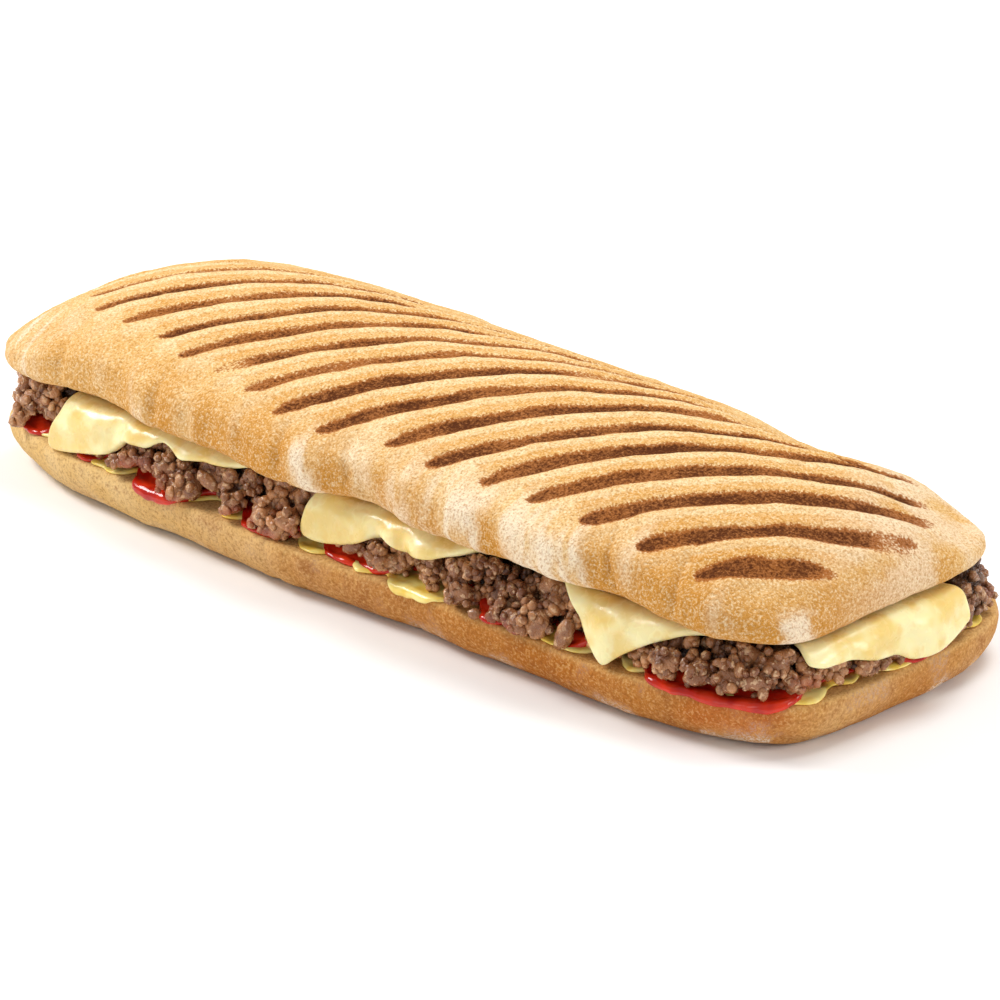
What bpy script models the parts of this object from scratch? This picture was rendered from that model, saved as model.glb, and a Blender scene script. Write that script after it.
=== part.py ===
"""A grilled panini: two halves of flat bread around mustard, ketchup, minced beef and cheese.

X runs along the sandwich towards its near end, Y across it and Z up. The long side that the
sandwich shows is at -Y. The origin is on the table, under the middle of the whole.
"""

import math
import random

import bmesh
import bpy
from mathutils import Euler, Vector, noise
from mathutils.bvhtree import BVHTree

MM = 0.001

# Bottom bread: a flat loaf whose sides flare from a smaller base
BASE_CENTRE = Vector((0.2, 0.0)) * MM
BASE_HALF = Vector((129.4, 49.5)) * MM
BASE_TOP = 12.1 * MM
BASE_FLARE = 8.5 * MM
BASE_WIDEST = 10.0 * MM
BASE_RIM = 0.8 * MM
BASE_ROUND_SHARE = 0.75
LOAF_POWER = 5.6
EDGE_PULL = 0.55

# Top bread: a low dome that the press has left steep at the ends and soft at the sides
TOP_CENTRE = Vector((0.9, -6.8)) * MM
TOP_HALF_X = 127.1 * MM
TOP_HALF_FRONT = 44.3 * MM
TOP_HALF_BACK = 48.0 * MM
TOP_UNDERSIDE = 24.7 * MM
TOP_WIDEST = 28.0 * MM
TOP_CROWN = 49.8 * MM
TOP_TUCK = 4.5 * MM
END_POWERS = (3.83, 2.39)
FRONT_POWERS = (1.5, 2.82)
BACK_POWERS = (1.54, 2.4)

# Waves of the long front edges: place along X, how far out, half length
TOP_FRONT_WAVES = (
    (-82 * MM, -2.6 * MM, 24 * MM),
    (-18 * MM, 1.6 * MM, 22 * MM),
    (10 * MM, -2.0 * MM, 16 * MM),
    (84 * MM, -2.4 * MM, 22 * MM),
    (109 * MM, 0.8 * MM, 12 * MM),
)
BASE_FRONT_WAVES = (
    (-110 * MM, -1.5 * MM, 18 * MM),
    (-16 * MM, 1.8 * MM, 20 * MM),
    (19 * MM, -1.2 * MM, 16 * MM),
    (78 * MM, 0.8 * MM, 22 * MM),
)
BACK_WAVES = (
    (-70 * MM, 1.4 * MM, 30 * MM),
    (-8 * MM, -1.8 * MM, 26 * MM),
    (62 * MM, 1.2 * MM, 34 * MM),
)
WAVE_LIFT = 0.35
CRUST_BUMP = 0.45 * MM
CRUST_SCALE = 17 * MM

# Marks of the grill press: bars laid across at a slant, not quite evenly spaced
MARK_COUNT = 17
MARK_PITCH = 15.17 * MM
MARK_FIRST = -108.9 * MM
MARK_SLANT = math.radians(42.25)
MARK_WIDTH = 4.6 * MM
MARK_DEPTH = 0.9 * MM
MARK_END_HEIGHT = 38.9 * MM
MARK_SHORTEST = 12 * MM
MARK_STEP = 9 * MM
MARK_WANDER = 2.0 * MM
MARK_WANDER_FROM = 5.6
MARK_WANDER_CYCLE = 9.2
MARK_WANDER_LAST = 10
MARK_NEAR_END = 15
MARK_NEAR_SHIFT = 1.8 * MM
MARK_CLEAR = 5 * MM

# Filling, from the bottom up
LAYER_GAP = 0.3 * MM
FILL_CENTRE = Vector((1.2, -1.0)) * MM
FILL_HALF = Vector((124.9, 42.5)) * MM
FILL_POWER = 6.0
OUTLINE_STEPS = 2880
EDGE_STATIONS = 1400
MUSTARD_BOTTOM = BASE_TOP + LAYER_GAP
MUSTARD_THICK = 0.9 * MM
KETCHUP_BOTTOM = MUSTARD_BOTTOM + MUSTARD_THICK + LAYER_GAP
KETCHUP_THICK = 1.0 * MM
MINCE_BOTTOM = KETCHUP_BOTTOM + KETCHUP_THICK + LAYER_GAP
MINCE_CORE_TOP = 22.0 * MM
MUSTARD_INSET = -2.4 * MM
KETCHUP_INSET = -0.5 * MM
MINCE_CORE_INSET = 1.4 * MM
MINCE_CORE_BEVEL = 1.0 * MM

# Cheese: two whole slices and two cut ones, each with its front corner, its turn, its size
# along the edge that hangs and its size inwards
CHEESE_THICK = 2.0 * MM
CHEESE_LEVEL = MINCE_CORE_TOP + LAYER_GAP + CHEESE_THICK / 2
CHEESE_SIDE = 86 * MM
CHEESE_DRAPE_RADIUS = 4.2 * MM
CHEESE_LEAN = 0.12
CHEESE_FINE = 20 * MM
CHEESE_FAR = 11 * MM
CHEESE_FINE_SLANTED = 27 * MM
NEAR_SHARE, NEAR_MOST = 0.6, 0.8
FAR_SHARE, FAR_MOST = 0.34, 0.125
SLANTED_FROM, SLANTED_TO = 20, 60
CHEESE_CORNER_POWER = 14
CHEESE_WAVE = 0.7 * MM
CHEESE_WAVE_LENGTH = 15 * MM
CHEESE_SLICES = (
    ("cheese_slice_1", (-104.0 * MM, -55.3 * MM), 10.5, CHEESE_SIDE, CHEESE_SIDE),
    ("cheese_slice_2", (-14.0 * MM, -55.2 * MM), 11.0, 76 * MM, CHEESE_SIDE),
    ("cheese_slice_3", (80.0 * MM, -57.5 * MM), 36.0, 38 * MM, 34 * MM),
    ("cheese_slice_4", (129.4 * MM, -28.5 * MM), 78.5, 47 * MM, 25 * MM),
)

# Sauce that has run out to the rim: middle along X, Y and Z, then half sizes
KETCHUP_BEADS = (
    ((-64.0, -46.4, 15.7), (8.0, 4.6, 2.0)),
    ((-62.5, -51.3, 13.4), (7.0, 1.5, 3.2)),
    ((-31.0, -45.6, 15.3), (6.0, 3.9, 1.6)),
    ((14.0, -45.4, 15.2), (11.0, 3.8, 1.5)),
    ((46.5, -45.6, 15.2), (5.0, 3.8, 1.5)),
    ((101.0, -44.2, 15.2), (13.0, 4.4, 1.5)),
    ((126.0, 29.0, 15.2), (2.6, 5.0, 1.5)),
    ((-112.0, -43.2, 15.2), (6.0, 3.0, 1.5)),
    ((-56.0, 44.4, 15.2), (9.0, 3.6, 1.5)),
    ((72.0, 44.2, 15.2), (9.0, 3.6, 1.5)),
    ((-124.4, 12.0, 15.2), (2.8, 9.0, 1.5)),
)
MUSTARD_BEADS = (
    ((-76.5, -47.1, 13.6), (3.6, 2.1, 1.2)),
    ((-47.0, -47.2, 13.6), (5.0, 2.1, 1.2)),
    ((-20.0, -47.2, 13.6), (3.6, 2.1, 1.2)),
    ((34.0, -47.2, 13.6), (6.0, 2.1, 1.2)),
    ((67.0, -47.2, 13.6), (5.0, 2.1, 1.2)),
    ((15.0, 45.2, 13.6), (8.0, 2.1, 1.2)),
    ((98.0, 45.0, 13.6), (7.0, 2.1, 1.2)),
)

# Minced beef: clumps spread by seeded draws round the edge of a plain core
MINCE_SEED = 7
MINCE_TRIES = 3600
CLUMP_RADIUS = (3.0 * MM, 4.7 * MM)
CLUMP_LEAST = 2.1 * MM
CLUMP_SPACING = 1.37
CLUMP_GRIP = 0.72
CLUMP_HEIGHTS = (16.2 * MM, 22.4 * MM)
CLUMP_REACH = (-2.4 * MM, 2.8 * MM)
CLUMP_JITTER = 0.2
CLUMP_CLEARANCE = 0.4 * MM
CLUMP_PUSH = 3.5 * MM
PROBE_WAY = Vector((0.137, 0.291, 0.947))
MINCE_SETBACKS = (
    (107 * MM, 5.0 * MM, 22 * MM),
    (4 * MM, 3.0 * MM, 16 * MM),
)
SPILLED_CLUMPS = (
    (-54.0, -50.2, 14.0, 3.6),
    (-56.0, -47.0, 17.0, 3.8),
    (52.0, -49.0, 14.5, 3.8),
    (57.0, -51.4, 12.5, 3.2),
    (61.0, -48.5, 15.5, 3.6),
    (126.2, 26.5, 18.3, 3.6),
    (125.8, 33.0, 16.5, 3.4),
)

# The loaf's own axes lie this far from the middle of the finished whole
CENTRING = Vector((-1.4, 1.05, 0.0)) * MM


def clear_scene():
    """Removes every object that the file starts with."""
    for item in list(bpy.data.objects):
        bpy.data.objects.remove(item, do_unlink=True)


def new_collection(name):
    made = bpy.data.collections.new(name)
    bpy.context.scene.collection.children.link(made)
    return made


def make_material(name, colour, roughness):
    material = bpy.data.materials.new(name)
    material.use_nodes = True
    shader = material.node_tree.nodes["Principled BSDF"]
    shader.inputs["Base Color"].default_value = (*colour, 1.0)
    shader.inputs["Roughness"].default_value = roughness
    shader.inputs["Metallic"].default_value = 0.0
    return material


def object_from_bmesh(bm, name, collection, material=None, smooth_angle=None):
    """Turns a bmesh into a named object with outward faces, smooth but for sharp edges."""
    bmesh.ops.recalc_face_normals(bm, faces=bm.faces)
    mesh = bpy.data.meshes.new(name)
    bm.to_mesh(mesh)
    bm.free()
    if material:
        mesh.materials.append(material)
    if smooth_angle:
        mesh.shade_smooth()
        mesh.set_sharp_from_angle(angle=smooth_angle)
    made = bpy.data.objects.new(name, mesh)
    collection.objects.link(made)
    return made


def apply_modifiers(thing):
    """Replaces an object's mesh by what its modifiers make of it."""
    graph = bpy.context.evaluated_depsgraph_get()
    mesh = bpy.data.meshes.new_from_object(thing.evaluated_get(graph))
    thing.modifiers.clear()
    thing.data = mesh


def largest_body(bm):
    """Deletes sealed hollows and loose scraps: all but the body that reaches furthest."""
    left = set(bm.faces)
    bodies = []
    while left:
        stack = [left.pop()]
        body = list(stack)
        while stack:
            for edge in stack.pop().edges:
                for face in edge.link_faces:
                    if face in left:
                        left.remove(face)
                        stack.append(face)
                        body.append(face)
        bodies.append(body)
    bodies.sort(key=len)
    for body in bodies[:-1]:
        bmesh.ops.delete(bm, geom=body, context="FACES")
    loose = [vertex for vertex in bm.verts if not vertex.link_faces]
    bmesh.ops.delete(bm, geom=loose, context="VERTS")


def outline_trees(things):
    """Search trees of closed solids, by which other solids are kept clear of them."""
    trees = []
    for thing in things:
        bm = bmesh.new()
        bm.from_mesh(thing.data)
        bmesh.ops.triangulate(bm, faces=bm.faces)
        bm.normal_update()
        trees.append(BVHTree.FromBMesh(bm))
        bm.free()
    return trees


def combine(thing, others, operation):
    """One Boolean of a collection with an object, applied, its objects then removed."""
    bpy.context.view_layer.update()
    modifier = thing.modifiers.new(operation.lower(), "BOOLEAN")
    modifier.operation = operation
    modifier.operand_type = "COLLECTION"
    modifier.collection = others
    modifier.solver = "EXACT"
    apply_modifiers(thing)
    for item in list(others.objects):
        bpy.data.objects.remove(item, do_unlink=True)
    bpy.data.collections.remove(others)
    bm = bmesh.new()
    bm.from_mesh(thing.data)
    bmesh.ops.remove_doubles(bm, verts=bm.verts, dist=0.002 * MM)
    largest_body(bm)
    bm.to_mesh(thing.data)
    bm.free()


def cut_box(cuts_x, cuts_y, cuts_z):
    """A cube from -1 to 1 whose edges are cut into equal parts along each axis."""
    bm = bmesh.new()
    bmesh.ops.create_cube(bm, size=2.0)
    for axis, cuts in enumerate((cuts_x, cuts_y, cuts_z)):
        if cuts == 1:
            continue
        edges = [e for e in bm.edges if abs(e.verts[0].co[axis] - e.verts[1].co[axis]) > 1e-4]
        bmesh.ops.subdivide_edges(bm, edges=edges, cuts=cuts - 1, use_grid_fill=True)
    return bm


def merge_level(bm, height):
    """Makes one face of all the faces that lie level at a height."""
    level = [f for f in bm.faces if all(abs(v.co.z - height) < 0.001 * MM for v in f.verts)]
    bmesh.ops.dissolve_faces(bm, faces=level, use_verts=False)


def squared_disc(u, v, power):
    """Maps the square from -1 to 1 to a rounded rectangle of the same reach."""
    largest = max(abs(u), abs(v))
    if largest == 0:
        return 0.0, 0.0
    total = (abs(u) ** power + abs(v) ** power) ** (1 / power)
    return u * largest / total, v * largest / total


def towards_edges(t):
    """Moves even stations between -1 and 1 a little towards both ends."""
    return (1 - EDGE_PULL) * t + EDGE_PULL * math.sin(t * math.pi / 2)


def window(x, centre, half_length):
    """A smooth hump: 1 at the centre and 0 beyond the half length."""
    t = abs(x - centre) / half_length
    return math.cos(t * math.pi / 2) ** 2 if t < 1 else 0.0


def wave(x, waves):
    return sum(out * window(x, centre, half_length) for centre, out, half_length in waves)


def dome_height(x, y):
    """Height of the top bread's crust at a place in plan."""
    across = abs(x - TOP_CENTRE.x) / TOP_HALF_X
    if across >= 1:
        return TOP_WIDEST
    narrowing = (1 - across ** LOAF_POWER) ** (1 / LOAF_POWER)
    front = y < TOP_CENTRE.y
    half = (TOP_HALF_FRONT if front else TOP_HALF_BACK) * narrowing
    aside = abs(y - TOP_CENTRE.y) / half
    if aside >= 1:
        return TOP_WIDEST
    power, root = FRONT_POWERS if front else BACK_POWERS
    side_fall = (1 - aside ** power) ** (1 / root)
    end_fall = (1 - across ** END_POWERS[0]) ** (1 / END_POWERS[1])
    return TOP_WIDEST + (TOP_CROWN - TOP_WIDEST) * side_fall * end_fall


def roughen(bm, amount, scale, chosen):
    """Moves the chosen vertices in and out by a smooth noise."""
    bm.normal_update()
    moves = [(v, v.normal * noise.noise(v.co / scale) * amount) for v in bm.verts if chosen(v)]
    for vertex, move in moves:
        vertex.co += move


def edge_offset(x, v, front_waves, edge_nearness):
    """How far a point near a long edge is moved outwards, by its side."""
    waves = front_waves if v < 0 else BACK_WAVES
    side = abs(v) ** 3 * edge_nearness
    return wave(x, waves) * side * (-1 if v < 0 else 1), wave(x, waves) * side


def make_top_bread(parts, material):
    bm = cut_box(28, 12, 2)
    for vertex in bm.verts:
        u, v, w = vertex.co
        u, v = towards_edges(u), towards_edges(v)
        nearness = max(abs(u), abs(v))
        plan_u, plan_v = squared_disc(u, v, LOAF_POWER)
        under = (1 - w) / 2 * math.pi / 2
        tuck = TOP_TUCK * (1 - math.cos(under)) * nearness
        half_y = TOP_HALF_FRONT if plan_v < 0 else TOP_HALF_BACK
        x = TOP_CENTRE.x + plan_u * (TOP_HALF_X - tuck)
        y = TOP_CENTRE.y + plan_v * (half_y - tuck)
        z = TOP_WIDEST - (TOP_WIDEST - TOP_UNDERSIDE) * math.sin(under)
        if w > 0.99:
            z = dome_height(x, y)
        shift, out = edge_offset(x, v, TOP_FRONT_WAVES, nearness ** 6)
        lift = -out * WAVE_LIFT if w > -0.99 else 0.0
        vertex.co = (x, y + shift, z + lift)
    roughen(bm, CRUST_BUMP, CRUST_SCALE, lambda v: v.co.z > TOP_WIDEST - 0.5 * MM)
    merge_level(bm, TOP_UNDERSIDE)
    return object_from_bmesh(bm, "top_bread", parts, material, math.radians(40))


def mark_line(index):
    """Where bar number index crosses the loaf's long axis."""
    line = MARK_FIRST + index * MARK_PITCH
    if index <= MARK_WANDER_LAST:
        line -= MARK_WANDER * math.sin(2 * math.pi * (index - MARK_WANDER_FROM) / MARK_WANDER_CYCLE)
    if index >= MARK_NEAR_END:
        line += MARK_NEAR_SHIFT
    return line


def mark_point(index, along):
    """A place on a bar, by its distance along the bar from the loaf's long axis."""
    x = mark_line(index) + along * math.sin(MARK_SLANT)
    return x, TOP_CENTRE.y + along * math.cos(MARK_SLANT)


def mark_span(index):
    """The stretch of a bar where the crust is high enough for the press to reach it."""
    places = [k * MM for k in range(-90, 91)]
    reached = [along for along in places if dome_height(*mark_point(index, along)) > MARK_END_HEIGHT]
    return (reached[0], reached[-1]) if reached else (0.0, 0.0)


def make_mark_cutter(index, cutters):
    """A bar that follows the dome and bites into it by the depth of a mark."""
    start, end = mark_span(index)
    if end - start < MARK_SHORTEST:
        return
    bm = cut_box(max(3, round((end - start) / MARK_STEP)), 1, 1)
    for vertex in bm.verts:
        along = start + (vertex.co.x + 1) / 2 * (end - start)
        x, y = mark_point(index, along)
        across = vertex.co.y * MARK_WIDTH / 2
        x -= across * math.cos(MARK_SLANT)
        y += across * math.sin(MARK_SLANT)
        bite = -MARK_DEPTH if vertex.co.z < 0 else MARK_CLEAR
        vertex.co = (x, y, dome_height(x, y) + bite)
    cutter = object_from_bmesh(bm, f"press_bar_{index + 1}", cutters)
    cutter.hide_render = True
    cutter.display_type = "WIRE"


def make_bottom_bread(parts, material):
    bm = cut_box(28, 9, 4)
    for vertex in bm.verts:
        u, v, w = vertex.co
        u, v = towards_edges(u), towards_edges(v)
        nearness = max(abs(u), abs(v))
        plan_u, plan_v = squared_disc(u, v, LOAF_POWER)
        climb = (w + 1) / 2
        if climb > 0.99:
            inset, z = BASE_RIM, BASE_TOP
        else:
            turn = climb / BASE_ROUND_SHARE * math.pi / 2
            inset = BASE_FLARE * (1 - math.sin(turn))
            z = BASE_WIDEST * (1 - math.cos(turn))
        x = BASE_CENTRE.x + plan_u * (BASE_HALF.x - inset)
        y = BASE_CENTRE.y + plan_v * (BASE_HALF.y - inset)
        shift, _ = edge_offset(x, v, BASE_FRONT_WAVES, nearness ** 6)
        vertex.co = (x, y + shift, z)
    roughen(bm, CRUST_BUMP, CRUST_SCALE, lambda v: 0.5 * MM < v.co.z < BASE_TOP - 0.1 * MM)
    merge_level(bm, 0.0)
    merge_level(bm, BASE_TOP)
    return object_from_bmesh(bm, "bottom_bread", parts, material, math.radians(40))


def make_slab(name, bottom, thick, inset, bevel, parts, material):
    """A flat layer with a blunt edge that covers the filling's plan."""
    bm = cut_box(16, 7, 2)
    for vertex in bm.verts:
        u, v = towards_edges(vertex.co.x), towards_edges(vertex.co.y)
        plan_u, plan_v = squared_disc(u, v, FILL_POWER)
        edge = inset + (abs(vertex.co.z) > 0.5) * bevel
        x = FILL_CENTRE.x + plan_u * (FILL_HALF.x - edge)
        y = FILL_CENTRE.y + plan_v * (FILL_HALF.y - edge)
        vertex.co = (x, y, bottom + (vertex.co.z + 1) / 2 * thick)
    merge_level(bm, bottom)
    merge_level(bm, bottom + thick)
    return object_from_bmesh(bm, name, parts, material, math.radians(40))


def make_bead(name, middle, half_sizes, others):
    bm = bmesh.new()
    bmesh.ops.create_uvsphere(bm, u_segments=8, v_segments=5, radius=1.0)
    bmesh.ops.scale(bm, vec=half_sizes, verts=bm.verts)
    bmesh.ops.translate(bm, vec=middle, verts=bm.verts)
    object_from_bmesh(bm, name, others)


def make_sauce(name, slab_sizes, beads, parts, material):
    """A layer of sauce with the beads that have run out to the rim, and its search trees."""
    bottom, thick, inset = slab_sizes
    sauce = make_slab(name, bottom, thick, inset, thick / 3, parts, material)
    others = new_collection(name + "_beads")
    for middle, half_sizes in beads:
        make_bead(name + "_bead", Vector(middle) * MM, Vector(half_sizes) * MM, others)
    trees = outline_trees([sauce, *others.objects])
    combine(sauce, others, "UNION")
    return sauce, trees


def outside_filling(x, y):
    """Distance outside the filling's outline, negative within, and the way out."""
    across = (x - FILL_CENTRE.x) / FILL_HALF.x
    aside = (y - FILL_CENTRE.y) / FILL_HALF.y
    total = abs(across) ** FILL_POWER + abs(aside) ** FILL_POWER
    if total < 1e-9:
        return -FILL_HALF.y, Vector((0.0, -1.0))
    level = total ** (1 / FILL_POWER)
    slope_x = math.copysign(abs(across / level) ** (FILL_POWER - 1), across) / FILL_HALF.x
    slope_y = math.copysign(abs(aside / level) ** (FILL_POWER - 1), aside) / FILL_HALF.y
    slope = Vector((slope_x, slope_y))
    return (level - 1) / slope.length, slope.normalized()


def drape(x, y, height):
    """Lays a flat point over the filling's edge, so that it hangs beyond a round bend."""
    out, way = outside_filling(x, y)
    if out <= 0:
        return Vector((x, y, height))
    edge = Vector((x, y)) - way * out
    bend = CHEESE_DRAPE_RADIUS
    turn = min(out / bend, math.pi / 2)
    hang = max(0.0, out - bend * math.pi / 2)
    reach = edge + way * (bend * math.sin(turn) + CHEESE_LEAN * hang)
    return Vector((*reach, height - bend * (1 - math.cos(turn)) - hang))


def fine_at_ends(t, side, near):
    """Stations that are close together near the hanging edge and near the far one."""
    near = min(near, NEAR_MOST * side)
    far = min(CHEESE_FAR, FAR_MOST * side)
    if t < NEAR_SHARE:
        return near * t / NEAR_SHARE
    if t > 1 - FAR_SHARE:
        return side - far * (1 - t) / FAR_SHARE
    return near + (side - near - far) * (t - NEAR_SHARE) / (1 - NEAR_SHARE - FAR_SHARE)


def make_cheese(name, corner, turn, width, depth, parts, material):
    """A slice laid flat on the beef, with one edge or corner hanging over the side."""
    along = Vector((math.cos(math.radians(turn)), math.sin(math.radians(turn))))
    inwards = Vector((-along.y, along.x))
    corner_hangs = SLANTED_FROM < turn < SLANTED_TO
    fine = CHEESE_FINE_SLANTED if corner_hangs else CHEESE_FINE
    bm = bmesh.new()
    bmesh.ops.create_grid(bm, x_segments=12, y_segments=14, size=1.0)
    for vertex in bm.verts:
        u, v = squared_disc(vertex.co.x, vertex.co.y, CHEESE_CORNER_POWER)
        u, v = (u + 1) / 2, (v + 1) / 2
        p = fine_at_ends(u, width, fine) if corner_hangs else u * width
        flat = Vector(corner) + along * p + inwards * fine_at_ends(v, depth, fine)
        out, way = outside_filling(*flat)
        vertex.co = drape(*flat, CHEESE_LEVEL)
        if out > CHEESE_DRAPE_RADIUS:
            swing = CHEESE_WAVE * math.sin(2 * math.pi * p / CHEESE_WAVE_LENGTH)
            vertex.co += Vector((*(way * swing), 0.0))
    merge_level(bm, CHEESE_LEVEL)
    slice_object = object_from_bmesh(bm, name, parts, material)
    solidify = slice_object.modifiers.new("thickness", "SOLIDIFY")
    solidify.thickness = CHEESE_THICK
    solidify.offset = 0.0
    apply_modifiers(slice_object)
    slice_object.data.shade_smooth()
    slice_object.data.set_sharp_from_angle(angle=math.radians(40))
    return slice_object


def edge_stations(count):
    """Points evenly spaced round the filling's outline."""
    fine = []
    for k in range(OUTLINE_STEPS):
        angle = 2 * math.pi * k / OUTLINE_STEPS
        u, v = squared_disc(math.cos(angle), math.sin(angle), FILL_POWER)
        reach = max(abs(math.cos(angle)), abs(math.sin(angle)))
        fine.append(Vector((u / reach * FILL_HALF.x, v / reach * FILL_HALF.y)) + FILL_CENTRE)
    lengths = [(fine[k] - fine[k - 1]).length for k in range(len(fine))]
    step = sum(lengths) / count
    stations, walked = [], 0.0
    for point, length in zip(fine, lengths):
        walked += length
        if walked >= step * (len(stations) + 1):
            stations.append(point)
    return stations


def nearest_gap(trees, point):
    """Distance from a point to the closest solid, negative inside one, and the way clear of it."""
    best, way = 1.0, Vector((0, 0, 1))
    for tree in trees:
        place, _, _, distance = tree.find_nearest(point)
        _, normal, _, _ = tree.ray_cast(point, PROBE_WAY)
        if normal and normal.dot(PROBE_WAY) > 0:
            distance = -distance
        if distance < best:
            best, way = distance, (point - place).normalized()
    return best, way


def fit_clump(trees, centre, radius):
    """Moves a clump clear of its neighbours, then shrinks it to the room that is left."""
    start = centre.copy()
    for _ in range(3):
        gap, way = nearest_gap(trees, centre)
        short = radius + CLUMP_CLEARANCE - gap
        if short <= 0:
            break
        if gap < 0:
            return centre, 0.0
        centre = centre + way * short * 0.5
    gap, _ = nearest_gap(trees, centre)
    if (centre - start).length > CLUMP_PUSH:
        return centre, 0.0
    return centre, min(radius, gap - CLUMP_CLEARANCE)


def clump_mesh(centre, radius, draw):
    """An uneven lump of meat with few sides."""
    bm = bmesh.new()
    bmesh.ops.create_icosphere(bm, subdivisions=1, radius=1.0)
    squash = Vector((1.0, draw.uniform(0.75, 1.0), draw.uniform(0.7, 0.95)))
    turn = Euler([draw.uniform(0, 2 * math.pi) for _ in range(3)]).to_matrix()
    for vertex in bm.verts:
        vertex.co = turn @ (vertex.co * draw.uniform(1 - CLUMP_JITTER, 1.0) * squash)
    reach = max(vertex.co.length for vertex in bm.verts)
    for vertex in bm.verts:
        vertex.co = centre + vertex.co * (radius / reach)
    return bm


def touches(centre, radius, placed):
    """Whether a clump bites into the core or into a clump that is already there."""
    grip = radius * CLUMP_GRIP
    out, _ = outside_filling(centre.x, centre.y)
    if max(out + MINCE_CORE_INSET + MINCE_CORE_BEVEL, centre.z - MINCE_CORE_TOP) < grip:
        return True
    return any((centre - other).length < grip + size * CLUMP_GRIP for other, size in placed)


def place_clumps(trees):
    """Spreads clumps evenly round the filling's side by seeded tries."""
    draw = random.Random(MINCE_SEED)
    stations = edge_stations(EDGE_STATIONS)
    placed = []
    for x, y, z, radius in SPILLED_CLUMPS:
        centre, radius = fit_clump(trees, Vector((x, y, z)) * MM, radius * MM)
        if radius >= CLUMP_LEAST:
            placed.append((centre, radius))
    for _ in range(MINCE_TRIES):
        edge = stations[draw.randrange(len(stations))]
        _, way = outside_filling(*edge)
        setback = wave(edge.x, MINCE_SETBACKS) if edge.y < 0 else 0.0
        place = edge + way * (draw.uniform(*CLUMP_REACH) - setback)
        centre = Vector((*place, draw.uniform(*CLUMP_HEIGHTS)))
        centre, radius = fit_clump(trees, centre, draw.uniform(*CLUMP_RADIUS))
        if radius < CLUMP_LEAST or not touches(centre, radius, placed):
            continue
        if all((centre - other).length > CLUMP_SPACING * (radius + size) / 2 for other, size in placed):
            placed.append((centre, radius))
    return placed, draw


def make_mince(trees, parts, material):
    """The core of the minced beef with the clumps that show fused on."""
    thick = MINCE_CORE_TOP - MINCE_BOTTOM
    edge = (MINCE_CORE_INSET, MINCE_CORE_BEVEL)
    mince = make_slab("minced_beef", MINCE_BOTTOM, thick, *edge, parts, material)
    clumps, draw = place_clumps(trees)
    others = new_collection("clumps")
    for number, (centre, radius) in enumerate(clumps):
        object_from_bmesh(clump_mesh(centre, radius, draw), f"clump_{number + 1}", others)
    combine(mince, others, "UNION")
    return mince


def main():
    clear_scene()
    parts = new_collection("panini")
    crust = make_material("crust", (0.62, 0.36, 0.13), 0.8)
    lower_crust = make_material("lower_crust", (0.52, 0.27, 0.09), 0.8)
    bottom_bread = make_bottom_bread(parts, lower_crust)
    top_bread = make_top_bread(parts, crust)
    bread_trees = outline_trees([bottom_bread, top_bread])
    cutters = new_collection("press_bars")
    for index in range(MARK_COUNT):
        make_mark_cutter(index, cutters)
    combine(top_bread, cutters, "DIFFERENCE")
    mustard_yellow = make_material("mustard_yellow", (0.75, 0.48, 0.06), 0.35)
    ketchup_red = make_material("ketchup_red", (0.5, 0.02, 0.01), 0.2)
    slab = (MUSTARD_BOTTOM, MUSTARD_THICK, MUSTARD_INSET)
    mustard, mustard_trees = make_sauce("mustard", slab, MUSTARD_BEADS, parts, mustard_yellow)
    slab = (KETCHUP_BOTTOM, KETCHUP_THICK, KETCHUP_INSET)
    ketchup, ketchup_trees = make_sauce("ketchup", slab, KETCHUP_BEADS, parts, ketchup_red)
    slices = []
    for number, sizes in enumerate(CHEESE_SLICES):
        cheese_yellow = make_material(f"cheese_yellow_{number + 1}", (0.85, 0.66, 0.25), 0.35)
        slices.append(make_cheese(*sizes, parts, cheese_yellow))
    cooked_meat = make_material("cooked_meat", (0.16, 0.08, 0.05), 0.55)
    trees = [*bread_trees, *mustard_trees, *ketchup_trees, *outline_trees(slices)]
    mince = make_mince(trees, parts, cooked_meat)

    whole = bpy.data.objects.new("panini", None)
    parts.objects.link(whole)
    whole.location = CENTRING
    for thing in (bottom_bread, mustard, ketchup, mince, *slices, top_bread):
        thing.parent = whole


main()
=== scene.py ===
"""Looks of the grilled panini: crusts with press marks, mince, melting cheese and sauces.

Shapes are worked out in millimetres from the loaf's own axes, as in the CAD, and moved by
CENTRING and scaled to metres when a mesh is made.
"""

import math
import random

import bmesh
import bpy
import numpy as np
from mathutils import Euler, Matrix, Vector
from mathutils.bvhtree import BVHTree


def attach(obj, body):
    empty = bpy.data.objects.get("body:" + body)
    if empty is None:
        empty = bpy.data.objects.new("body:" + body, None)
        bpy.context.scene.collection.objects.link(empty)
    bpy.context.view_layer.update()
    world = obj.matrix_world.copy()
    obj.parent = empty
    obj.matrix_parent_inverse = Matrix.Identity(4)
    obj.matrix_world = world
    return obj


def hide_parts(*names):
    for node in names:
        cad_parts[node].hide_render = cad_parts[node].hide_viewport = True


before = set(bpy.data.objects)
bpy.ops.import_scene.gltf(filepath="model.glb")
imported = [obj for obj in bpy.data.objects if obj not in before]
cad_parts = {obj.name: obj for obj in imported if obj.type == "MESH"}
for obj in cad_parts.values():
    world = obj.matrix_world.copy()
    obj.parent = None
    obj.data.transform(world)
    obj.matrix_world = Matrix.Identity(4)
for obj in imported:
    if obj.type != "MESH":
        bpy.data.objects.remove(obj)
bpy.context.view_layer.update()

MM = 0.001
CENTRING = np.array([-1.4, 1.05, 0.0])

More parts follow.
